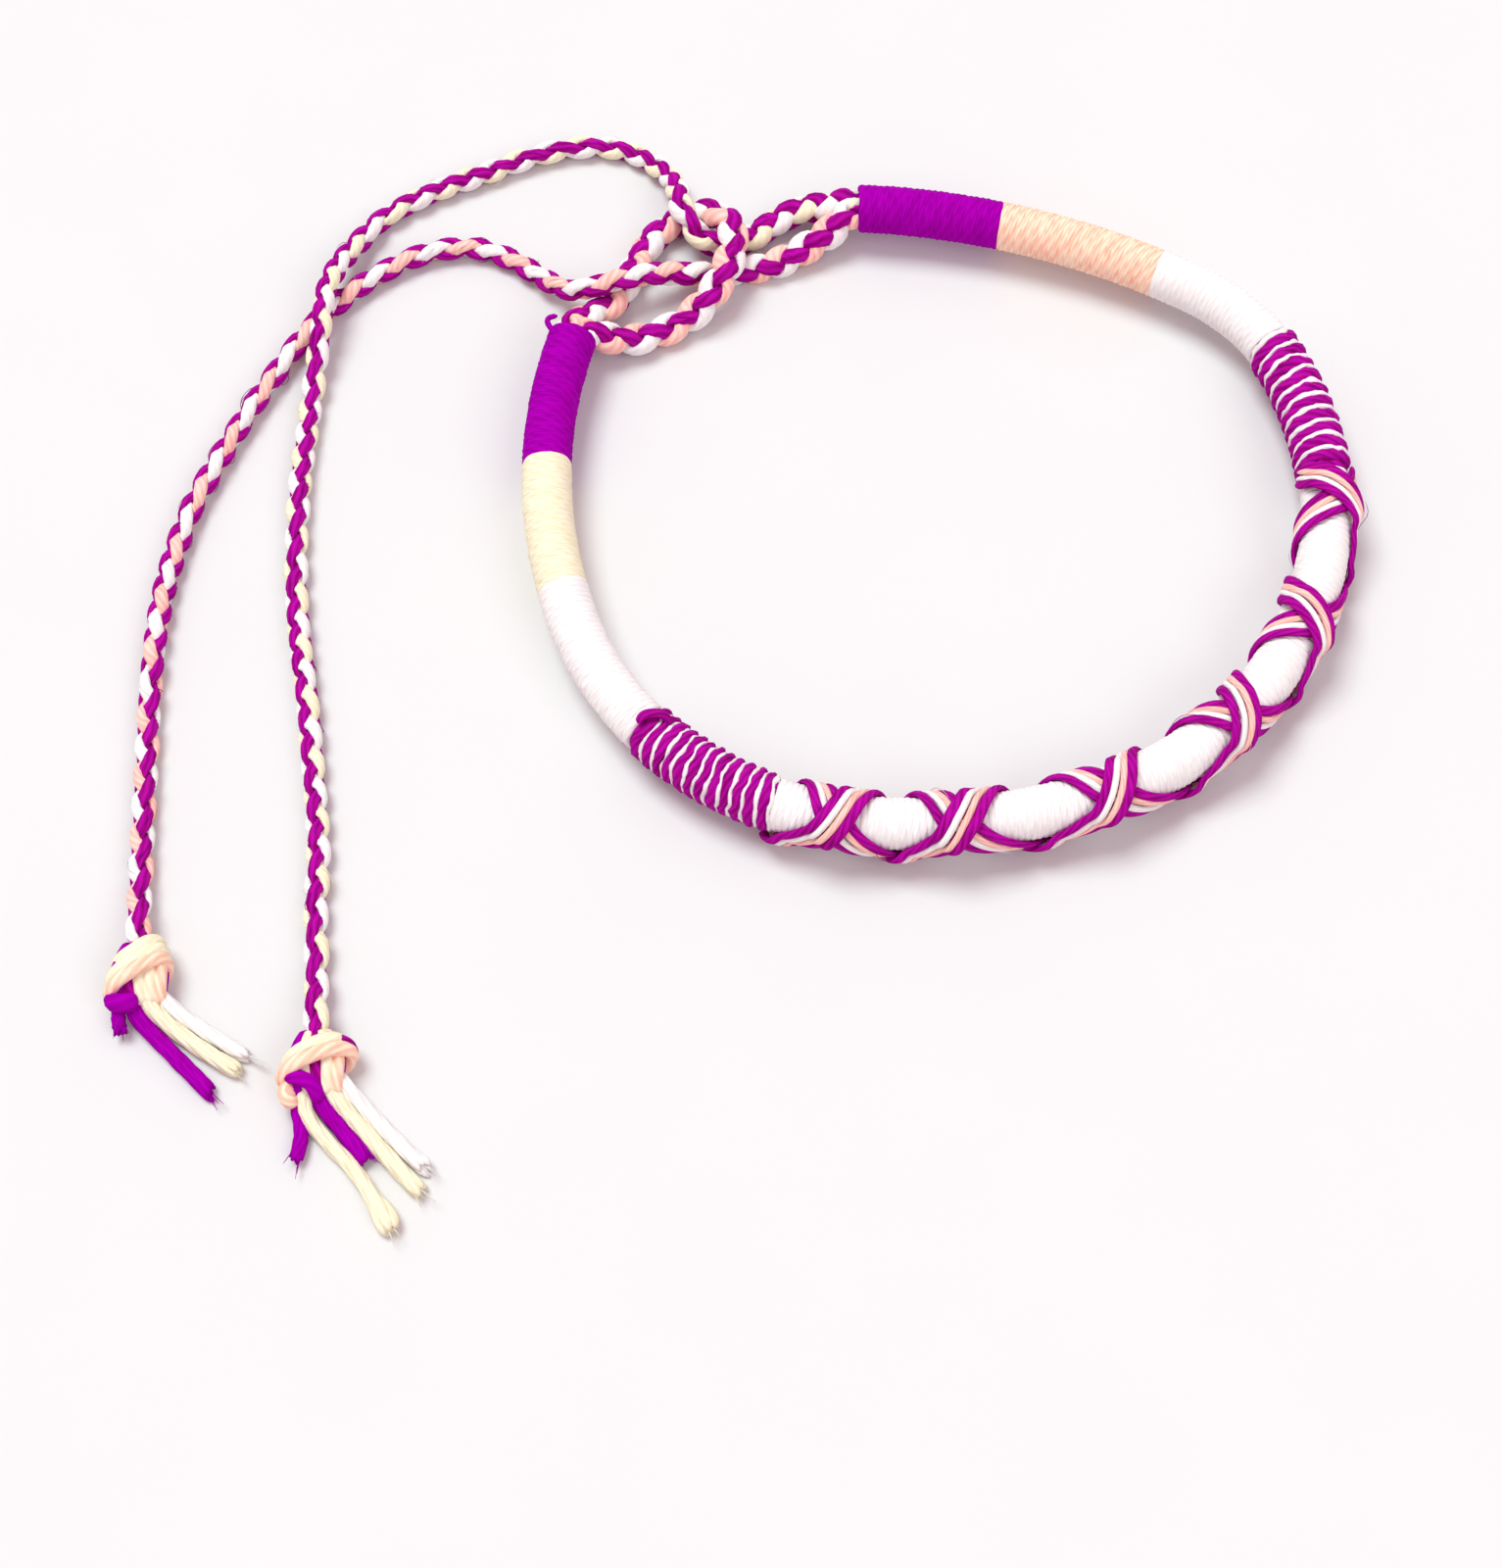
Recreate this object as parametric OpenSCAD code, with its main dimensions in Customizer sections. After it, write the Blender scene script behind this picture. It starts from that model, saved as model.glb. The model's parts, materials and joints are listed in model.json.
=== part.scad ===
// Friendship bracelet: a thread-wound band bent round a wrist, tied with two braided ties through an eye.
// Origin: middle of the ring's box, on the surface it lies on. +X right, +Y away from the viewer, +Z up.
// A place on the band is given by its way along the band from the eye's end, its radius off the band's
// middle line, and its angle round the band, from the outside (0) over the top (90).

/* [Band] */
// Radius of the round that the band is bent to
round_r = 36; // [33:0.5:45]
// Thickness of the wound band
band_d = 4.5; // [3.9:0.1:5.1]
// Thickness of the bundle of threads that the band is wound on
core_d = 2.8; // [2.2:0.1:3.2]
// Room between the bundle and what is wound on it
core_gap = 0.15; // [0.13:0.01:0.2]
// Gap between a piece and its neighbour
gap = 0.05; // [0.03:0.01:0.1]

/* [Colour blocks] */
// Length of the purple winding next to the eye
purple_left_len = 14.4; // [8:0.2:18]
// Length of the cream winding
cream_left_len = 13.5; // [8:0.5:18]
// Length of the white winding from the cream to the first whipping
white_left_len = 16; // [10:0.5:20]
// Length of the white winding from the second whipping to the peach
white_right_len = 13; // [8:0.5:18]
// Length of the peach winding
peach_right_len = 15.7; // [8:0.1:20]
// Length of the purple winding next to the ties
purple_right_len = 13.5; // [8:0.5:18]

/* [Whippings] */
// Thickness of the whippings
whip_d = 5; // [4.6:0.1:5.4]
// Length of the first whipping
whip_left_len = 13.7; // [10:0.1:18]
// Turns of the first whipping
whip_left_turns = 13; // [8:1:16]
// Length of the second whipping
whip_right_len = 15.6; // [10:0.2:18]
// Turns of the second whipping
whip_right_turns = 11; // [8:1:16]
// Depth of the groove between two turns
whip_groove = 0.3; // [0.15:0.05:0.4]

/* [Crossed bands] */
// Width of each crossed band of threads
cross_w = 2.7; // [1.8:0.1:3]
// Thickness of each crossed band
cross_t = 0.5; // [0.4:0.05:0.6]
// Angle round the band at which the crossings show
cross_angle = 60; // [40:5:80]
// Extra angle that a crossed band takes over the ring's inner side, between two crossings
cross_skew = 50; // [20:5:70]
// Room between a crossed band and what it lies on
cross_gap = 0.28; // [0.26:0.01:0.32]

/* [Eye and ties] */
// Thickness of the braided ties and of the eye's braid
tie_d = 2.2; // [1.8:0.1:2.4]
// Reach of the eye past the band's end
eye_reach = 18.5; // [16:0.5:22]
// Breadth of the eye
eye_breadth = 11.5; // [10:0.5:14]
// Thickness of each thread end in a tassel
lock_d = 1.3; // [0.9:0.1:1.5]
// Length of the longest thread end
lock_len = 12.5; // [9:0.5:15]
// Length of a knot along its tie
knot_len = 4.6; // [3.8:0.2:5.4]
// Thickness of a knot
knot_d = 4.5; // [3.9:0.1:5]

/* [Hidden] */
$fn = 48;

// Sides of the band's windings, longest step along them, and steps in a turn of a whipping
band_sides = 14;
ring_step = 4;
whip_steps = 4;
core_sides = 10;

purple = "purple";
cream = "lightyellow";
white = "white";
peach = "peachpuff";

// Bends of the band, from the eye's end: radius as a share of round_r, and sweep in degrees
BEND_R = 0;
BEND_SWEEP = 1;
BENDS = [
    [1.40, 36],
    [0.83, 66],
    [1.35, 21],
    [0.94, 96],
    [0.52, 36],
    [1.88, 28]
];
start_heading = -106;

// Showing crossings, as shares of the way from the first whipping to the second
CROSSINGS = [0.075, 0.22, 0.41, 0.60, 0.765, 0.955];

// Eye of braid: reach as a share of eye_reach, place across as a share of eye_breadth, and height as a
// share of tie_d. It lies flat, and its far end humps over the two ties.
EYE_ALONG = 0;
EYE_ACROSS = 1;
EYE_HEIGHT = 2;
EYE = [
    [0.18, 0.00, 1.15],
    [0.36, 0.16, 0.66],
    [0.62, 0.22, 0.53],
    [0.83, 0.29, 0.53],
    [0.97, 0.45, 0.58],
    [1.00, 0.68, 1.20],
    [0.91, 0.91, 1.68],
    [0.72, 1.00, 1.70],
    [0.52, 0.96, 1.42],
    [0.38, 0.82, 0.76],
    [0.25, 0.62, 0.60],
    [0.13, 0.38, 0.90]
];

// Way of each tie from the band's end to its knot: out of the end, under the far end of the eye, up
// through it, over its other side, then along the surface. The first passes over the second.
TIE_A = [
    [-9.5, 34.6, 2.6], [-12, 34.9, 1.9], [-14.6, 33.9, 1.3], [-17, 32.1, 1.15], [-19.5, 30.9, 1.35],
    [-22, 31.2, 2.4], [-23.7, 33.4, 3.9], [-24.3, 36.6, 2.9], [-25.4, 39.5, 1.6], [-28, 42, 1.15],
    [-31.8, 43.2, 1.15], [-37, 42.5, 1.15], [-42.6, 40.1, 1.15], [-48.3, 37.4, 1.15], [-52.6, 34.4, 1.15],
    [-55.1, 30.4, 1.8], [-56.5, 26.8, 3], [-57.2, 23.4, 3.6], [-57.5, 19.6, 2.8], [-57.9, 15.4, 1.6],
    [-58.2, 10.5, 1.15], [-58.5, 4, 1.15],
    [-58.3, -3.5, 1.15], [-57.6, -11, 1.15], [-56.3, -18.5, 1.15], [-55.2, -26, 1.15],
    [-54.3, -32.5, 1.15], [-54, -39.5, 1.15], [-53.5, -45.5, 1.4], [-53.2, -49, 2.3], [-53, -51.5, 2.3]
];
TIE_B = [
    [-9.4, 31.7, 2.6], [-11.8, 30.3, 1.8], [-14.4, 29, 1.25], [-17.2, 28.2, 1.15], [-20, 27.6, 1.3],
    [-23, 27, 2.1], [-26, 26.2, 3.2], [-29, 25.1, 3.9], [-32, 24.2, 3.7], [-34.6, 24.8, 2.5],
    [-36.9, 26.9, 1.5], [-39.7, 29.2, 1.15], [-43.2, 30.7, 1.15], [-47.2, 30.5, 1.15], [-51.2, 28.7, 1.15],
    [-55, 25.7, 1.15], [-58.6, 21.5, 1.15], [-62, 15.5, 1.15], [-65.3, 8.5, 1.15], [-68.2, 1, 1.15],
    [-69.8, -7, 1.15], [-70.2, -15, 1.15], [-69.9, -23, 1.15], [-69.5, -31, 1.15],
    [-69.1, -37.5, 1.4], [-68.7, -41, 2.3], [-68.4, -43.5, 2.3]
];

// Thread ends of each tassel: turn from the tie's heading in degrees, length as a share of lock_len,
// and curl sideways as a share of the length
LOCK_TURN = 0;
LOCK_LEN = 1;
LOCK_CURL = 2;
LOCKS_A = [
    [-34, 0.42, 0.10],
    [10, 0.58, -0.10],
    [24, 0.78, 0.12],
    [36, 1.00, -0.06],
    [50, 0.84, 0.08]
];
LOCKS_B = [
    [-20, 0.28, 0.05],
    [26, 0.82, 0.08],
    [42, 0.92, -0.08],
    [60, 0.88, 0.07]
];

band_r = band_d / 2;
core_r = core_d / 2;
whip_r = whip_d / 2;
sleeve_r = (core_r + core_gap) / cos(180 / band_sides);
tie_r = tie_d / 2;
pinch_r = core_r / 2 - gap;
cross_low_r = band_r + cross_gap;
cross_lift = cross_t + cross_gap;
cross_top_r = cross_low_r + cross_lift + cross_t;
axis_z = cross_top_r + gap;
knot_z = knot_d / 2 + gap;

// Ways along the band at which its pieces end
s_cream = purple_left_len;
s_white = s_cream + cream_left_len;
s_whip = s_white + white_left_len;
s_front = s_whip + whip_left_len;
s_end = bend_start(len(BENDS));
s_purple = s_end - purple_right_len;
s_peach = s_purple - peach_right_len;
s_last_white = s_peach - white_right_len;
s_last_whip = s_last_white - whip_right_len;
front_len = s_last_whip - s_front;

// The route of the band
function bend_r(i) = BENDS[i][BEND_R] * round_r;
function bend_len(i) = bend_r(i) * BENDS[i][BEND_SWEEP] * PI / 180;
function bend_start(i) = i == 0 ? 0 : bend_start(i - 1) + bend_len(i - 1);
function bend_heading(i) = i == 0 ? start_heading : bend_heading(i - 1) + BENDS[i - 1][BEND_SWEEP];
function outward(heading) = [sin(heading), -cos(heading)];
function bend_centre(i) = i == 0
    ? -bend_r(0) * outward(start_heading)
    : bend_centre(i - 1) + (bend_r(i - 1) - bend_r(i)) * outward(bend_heading(i));
function bend_at(s, i = 0) = i == len(BENDS) - 1 || s < bend_start(i + 1) ? i : bend_at(s, i + 1);
function heading_at(s) = let (i = bend_at(s)) bend_heading(i) + (s - bend_start(i)) / bend_r(i) * 180 / PI;
function raw_point(s, r) = let (i = bend_at(s)) bend_centre(i) + (bend_r(i) + r) * outward(heading_at(s));

// The ring's box, whose middle is the origin
box_steps = 120;
outline = [for (k = [0:box_steps]) let (s = s_end * k / box_steps)
    raw_point(s, s > s_front && s < s_last_whip ? cross_low_r + cross_t : band_r)];
xs = [for (p = outline) p[0]];
ys = [for (p = outline) p[1]];
middle = [min(xs) + max(xs), min(ys) + max(ys)] / 2;

function on_band(s, r, a) = let (p = raw_point(s, r * cos(a)) - middle) [p[0], p[1], axis_z + r * sin(a)];

// One smooth curve through chosen points
function spline(a, b, c, d, t) = 0.5 * (2 * b + (c - a) * t + (2 * a - 5 * b + 4 * c - d) * t * t
    + (3 * b - a - 3 * c + d) * t * t * t);
function curve(pts, steps) = let (n = len(pts) - 1) concat(
    [for (i = [0:n - 1]) for (k = [0:steps - 1])
        spline(pts[max(i - 1, 0)], pts[i], pts[i + 1], pts[min(i + 2, n)], k / steps)],
    [pts[n]]);
function unit(v) = v / norm(v);

// Triangles of a closed body whose sections have the same number of points
function side_faces(rings, m, first = 0) = [for (i = [0:rings - 2]) for (k = [0:m - 1])
    let (a = first + i * m + k, b = first + i * m + (k + 1) % m)
    each [[a, b + m, b], [a, a + m, b + m]]];
function flip(faces) = [for (f = faces) [f[2], f[1], f[0]]];
function fan(first, m) = [for (k = [1:m - 2]) [first, first + k, first + k + 1]];

// A round thread or braid through points, with its radius at each share of the way
module tube(path, radii, sides = 8) {
    n = len(path);
    rings = [for (i = [0:n - 1])
        let (
            along = unit(path[min(i + 1, n - 1)] - path[max(i - 1, 0)]),
            across = unit(cross([0, 0, 1], along)),
            up = cross(along, across)
        )
        for (k = [0:sides - 1])
            path[i] + radii[i] * (cos(360 * k / sides) * across + sin(360 * k / sides) * up)];
    polyhedron(rings, concat(
        side_faces(n, sides),
        fan(0, sides),
        flip(fan((n - 1) * sides, sides))
    ));
}

// The bundle of threads that the band is wound on
module core() {
    rings = ring_count(s_end);
    tube([for (i = [0:rings - 1]) on_band(s_end * i / (rings - 1), 0, 0)],
        [for (i = [0:rings - 1]) core_r], core_sides);
}

// Rings that keep the steps along the band short
function ring_count(long) = ceil(long / ring_step) + 1;

// A hollow length of winding round the core. The function radius gives its outside at ring i and side k.
module sleeve(s_from, s_to, rings, radius) {
    long = s_to - s_from;
    inner_rings = ring_count(long);
    outer = [for (i = [0:rings - 1]) for (k = [0:band_sides - 1])
        on_band(s_from + i / (rings - 1) * long, radius(i, k), 360 * k / band_sides)];
    inner = [for (i = [0:inner_rings - 1]) for (k = [0:band_sides - 1])
        on_band(s_from + i / (inner_rings - 1) * long, sleeve_r, 360 * k / band_sides)];
    first = len(outer);
    last = (rings - 1) * band_sides;
    to_inner = first + (inner_rings - 1) * band_sides - last;
    polyhedron(concat(outer, inner), concat(
        flip(side_faces(rings, band_sides)),
        side_faces(inner_rings, band_sides, first),
        [for (k = [0:band_sides - 1]) let (j = (k + 1) % band_sides)
            each [[k, first + k, first + j], [k, first + j, j]]],
        [for (k = [0:band_sides - 1]) let (a = last + k, b = last + (k + 1) % band_sides)
            each [[a, b, b + to_inner], [a, b + to_inner, a + to_inner]]]
    ));
}

// A smooth length of winding in one colour
module winding(s_from, s_to) {
    sleeve(s_from, s_to, ring_count(s_to - s_from), function (i, k) band_r);
}

// A close whipping of twisted threads, with one rounded rib for each turn
module whipping(s_from, s_to, turns) {
    rings = turns * whip_steps + 1;
    rib = function (i, k) i == 0 || i == rings - 1 ? 0 : abs(sin(180 * (i / whip_steps - k / band_sides)));
    sleeve(s_from, s_to, rings, function (i, k) whip_r - whip_groove * (1 - rib(i, k)));
}

// Way along the band at a number of turns from the first crossing
function crossing_s(k) = s_front + front_len * CROSSINGS[k];
function turn_s(n) = let (
        last = len(CROSSINGS) - 1,
        i = max(0, min(last - 1, floor(n)))
    )
    crossing_s(i) + (n - i) * (crossing_s(i + 1) - crossing_s(i));
function s_turn(s) = let (
        inside = [for (k = [1:len(CROSSINGS) - 2]) if (crossing_s(k) <= s) k],
        i = len(inside)
    )
    i + (s - crossing_s(i)) / (crossing_s(i + 1) - crossing_s(i));

// Share of its full lift that the upper band has: one at each crossing, none between crossings
function hump(n) = let (m = abs(n - round(2 * n) / 2), t = max(0, min(1, (0.17 - m) / 0.07)))
    t * t * (3 - 2 * t);

// A flat band of threads laid round the front in a long screw, way +1 or -1
module cross_band(way, lifted) {
    steps_a_turn = 16;
    slant = atan2(2 * PI * band_r, front_len / len(CROSSINGS));
    inset = cross_w / 2 * sin(slant) + gap;
    n_from = ceil(s_turn(s_front + inset) * steps_a_turn);
    n_to = floor(s_turn(s_last_whip - inset) * steps_a_turn);
    section = [[-0.5, 0.4], [-0.28, 1], [0, 1], [0.28, 1], [0.5, 0.4], [0.5, 0], [0, 0], [-0.5, 0]];
    m = len(section);
    pts = [for (q = [n_from:n_to]) for (p = section)
        let (
            t = q / steps_a_turn,
            n = t - way * cross_skew / 720 * (1 - cos(360 * t)),
            low = cross_low_r + (lifted ? hump(n) * cross_lift : 0),
            side = p[0] * cross_w
        )
        on_band(
            turn_s(n) + side * sin(slant),
            low + p[1] * cross_t,
            cross_angle + way * (360 * n - side * cos(slant) / band_r * 180 / PI)
                + cross_skew / 2 * (1 - cos(360 * n))
        )];
    rings = n_to - n_from + 1;
    sides = side_faces(rings, m);
    cap = [[0, 6, 7], [0, 1, 6], [1, 2, 6], [2, 3, 6], [3, 5, 6], [3, 4, 5]];
    end_cap = [for (f = flip(cap)) f + (rings - 1) * m * [1, 1, 1]];
    faces = concat(sides, cap, end_cap);
    polyhedron(pts, way > 0 ? faces : flip(faces));
}

left_end = on_band(0, 0, 0);
right_end = on_band(s_end, 0, 0);
left_way = -[cos(start_heading), sin(start_heading), 0];
left_across = [left_way[1], -left_way[0], 0];
right_way = [cos(heading_at(s_end)), sin(heading_at(s_end)), 0];
right_across = [right_way[1], -right_way[0], 0];
pinch = pinch_r + gap / 2;

// Straight lead of a braid out of the band's end
lead = 0.8;

function eye_point(row) = [each (left_end + left_way * row[EYE_ALONG] * eye_reach
    + left_across * row[EYE_ACROSS] * eye_breadth) * [[1, 0], [0, 1], [0, 0]], row[EYE_HEIGHT] * tie_d];
function eye_root(side, ahead) = left_end + ahead * left_way + side * pinch * left_across;
eye_path = concat(
    [eye_root(-1, gap)],
    curve(concat([eye_root(-1, lead)], [for (row = EYE) eye_point(row)], [eye_root(1, lead)]), 2),
    [eye_root(1, gap)]
);

// Radius of a braid that is drawn together at its ends, over the rings past its lead
function drawn_in(n, both) = [for (i = [0:n - 1])
    let (past = (both ? min(i, n - 1 - i) : i) - 1, t = max(0, min(1, past / 2)))
    pinch_r + (tie_r - pinch_r) * t];

// Knot and tassel sit past the last point of a tie
function tie_end(way) = way[len(way) - 1];
function tie_dir(way) = let (d = way[len(way) - 1] - way[len(way) - 2]) atan2(d[1], d[0]);

module tie(side, way) {
    start = right_end + gap * right_way + side * pinch * right_across;
    path = concat([start, start + lead * right_way], way);
    tube(path, drawn_in(len(path), false));
}

module at_knot(way, ahead) {
    p = tie_end(way);
    a = tie_dir(way);
    translate([p[0] + ahead * cos(a), p[1] + ahead * sin(a), knot_z])
        rotate([0, 0, a])
            children();
}

module knot(way) {
    wrap_r = knot_d / 6;
    at_knot(way, gap)
        rotate([0, 90, 0]) {
            cylinder(h = knot_len, r = knot_d / 4);
            for (side = [-1, 1])
                translate([0, 0, knot_len / 2 + side * wrap_r * 1.15])
                    rotate([0, side * 12, 0])
                        rotate_extrude($fn = 40)
                            translate([knot_d / 2 - wrap_r * 1.1, 0])
                                circle(wrap_r, $fn = 20);
        }
}

module tassel(way, locks) {
    head = 1.2;
    at_knot(way, knot_len + 2 * gap) {
        rotate([0, 90, 0])
            cylinder(h = head, r = knot_d / 4);
        for (row = locks) {
            l = row[LOCK_LEN] * lock_len;
            drop = knot_z - lock_d / 2 - gap;
            path = curve([
                [head * 0.4, 0, 0],
                [head, 0.1 * sin(row[LOCK_TURN]), -0.1 * drop],
                for (t = [0.4, 0.7, 1])
                    let (a = row[LOCK_TURN] * (0.5 + 0.5 * t))
                    [head + l * t * cos(a), l * t * sin(a) + row[LOCK_CURL] * l * sin(180 * t), -drop * min(1, 1.5 * t)]
            ], 1);
            tube(path, [for (p = path) lock_d / 2], 7);
        }
    }
}

module core_bundle() color(cream) core();
module purple_left() color(purple) winding(0, s_cream - gap);
module cream_left() color(cream) winding(s_cream, s_white - gap);
module white_left() color(white) winding(s_white, s_whip - gap);
module whipping_left() color(purple) whipping(s_whip, s_front - gap, whip_left_turns);
module white_front() color(white) winding(s_front, s_last_whip - gap);
module cross_under() color(purple) cross_band(-1, false);
module cross_over() color(peach) cross_band(1, true);
module whipping_right() color(purple) whipping(s_last_whip, s_last_white - gap, whip_right_turns);
module white_right() color(white) winding(s_last_white, s_peach - gap);
module peach_right() color(peach) winding(s_peach, s_purple - gap);
module purple_right() color(purple) winding(s_purple, s_end);
module eye_loop() color(peach) tube(eye_path, drawn_in(len(eye_path), true));
module tie_a() color(peach) tie(1, TIE_A);
module tie_b() color(cream) tie(-1, TIE_B);
module knot_a() color(cream) knot(TIE_A);
module knot_b() color(peach) knot(TIE_B);
module tassel_a() color(purple) tassel(TIE_A, LOCKS_A);
module tassel_b() color(purple) tassel(TIE_B, LOCKS_B);

core_bundle();
purple_left();
cream_left();
white_left();
whipping_left();
white_front();
cross_under();
cross_over();
whipping_right();
white_right();
peach_right();
purple_right();
eye_loop();
tie_a();
tie_b();
knot_a();
knot_b();
tassel_a();
tassel_b();
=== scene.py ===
"""Friendship bracelet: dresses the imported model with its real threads.

Lengths in the classes are millimetres, as in the part's source. Points turn into metres when a mesh
is made. A place on the band is given by its way along the band from the eye's end, its radius off
the band's middle line, and its angle round the band, from the outside (0) over the top (90).

A wound thread is a circle that Blender's modifiers screw into turns and bend along the band. A
thread that follows a line of its own, as in a braid, is swept along it, because its breadth and
tilt change from point to point.

Fields that mean the same in every class: node is the CAD node that a piece stands for and its own
name, tone and pale are thread colours, seed sets the unevenness, sides are those of a thread's
section, step lies between its rings, flat is its thickness as a share of its breadth, waver is how
far it wanders and ruffle how far it swells. A name with half is half a size, _d is a thickness,
_r a radius and _z a height.
"""
import json
import logging
import math
from dataclasses import dataclass, field
from enum import Enum

import bpy
import numpy as np
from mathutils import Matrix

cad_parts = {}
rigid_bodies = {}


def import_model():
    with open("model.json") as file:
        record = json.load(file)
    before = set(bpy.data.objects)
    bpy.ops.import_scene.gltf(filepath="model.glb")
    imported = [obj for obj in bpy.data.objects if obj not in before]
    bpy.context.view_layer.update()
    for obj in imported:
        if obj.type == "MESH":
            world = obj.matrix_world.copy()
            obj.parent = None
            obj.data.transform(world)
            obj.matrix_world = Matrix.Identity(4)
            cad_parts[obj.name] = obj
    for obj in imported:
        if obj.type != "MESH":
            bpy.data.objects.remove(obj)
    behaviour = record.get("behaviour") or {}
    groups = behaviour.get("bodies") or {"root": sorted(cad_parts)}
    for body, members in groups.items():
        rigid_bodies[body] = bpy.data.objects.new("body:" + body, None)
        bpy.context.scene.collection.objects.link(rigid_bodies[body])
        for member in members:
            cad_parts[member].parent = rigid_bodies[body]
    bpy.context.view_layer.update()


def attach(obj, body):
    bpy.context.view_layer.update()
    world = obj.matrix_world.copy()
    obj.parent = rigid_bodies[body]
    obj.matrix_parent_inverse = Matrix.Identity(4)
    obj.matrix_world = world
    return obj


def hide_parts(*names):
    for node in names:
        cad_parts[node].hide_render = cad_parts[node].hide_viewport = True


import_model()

LOG = logging.getLogger("bracelet")
MM = 0.001
BODY = "root"
THREAD_UV = "thread"
UP = np.array([0.0, 0.0, 1.0])
LEVEL = np.array([1.0, 1.0, 0.0])
ROUTE_STEPS, THREAD_STEPS = 12, 10

Piece = bpy.types.Object
Tree = bpy.types.NodeTree
Socket = bpy.types.NodeSocket
Colour = tuple[float, float, float]
Row = tuple[float, float, float]


class Tone(Enum):
    """Thread colours: the record's slots, and rose, the peach of the braids and crossed bands."""

    PURPLE = "purple_thread"
    VIOLET = "violet_thread"
    CREAM = "cream_thread"
    PEACH = "peach_thread"
    ROSE = "rose_thread"
    WHITE = "white_thread"


class Way(Enum):
    """Which way round the band a crossed band of threads climbs."""

    RISING = 1
    FALLING = -1


# Finishes


def set_inputs(tree: Tree, node: bpy.types.Node, inputs: dict[str | int, object]) -> None:
    """Sets a node's inputs.

    Args:
        tree: Tree that holds the node.
        node: The node.
        inputs: A socket to link or a plain value, by the input's name or number.
    """
    for place, value in inputs.items():
        if isinstance(value, Socket):
            tree.links.new(value, node.inputs[place])
        else:
            node.inputs[place].default_value = value


def add_node(
    tree: Tree, kind: str, inputs: dict[str | int, object], **settings: object
) -> bpy.types.Node:
    """Adds a shader node.

    Args:
        tree: Tree that gets it.
        kind: Blender's name of its type, after "ShaderNode".
        inputs: What set_inputs gives it.
        settings: Its other properties.

    Returns:
        The node.
    """
    node = tree.nodes.new(f"ShaderNode{kind}")
    for name, value in settings.items():
        setattr(node, name, value)
    set_inputs(tree, node, inputs)
    return node


def add_math(tree: Tree, operation: str, *values: object) -> Socket:
    """Adds a Math node on sockets or numbers, and returns its output."""
    return add_node(tree, "Math", dict(enumerate(values)), operation=operation).outputs[0]


def add_mix(tree: Tree, share: Socket, low: object, high: object) -> Socket:
    """Adds a Mix node between two colours, and returns its output."""
    return add_node(tree, "Mix", {0: share, 6: low, 7: high}, data_type="RGBA").outputs[2]


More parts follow.
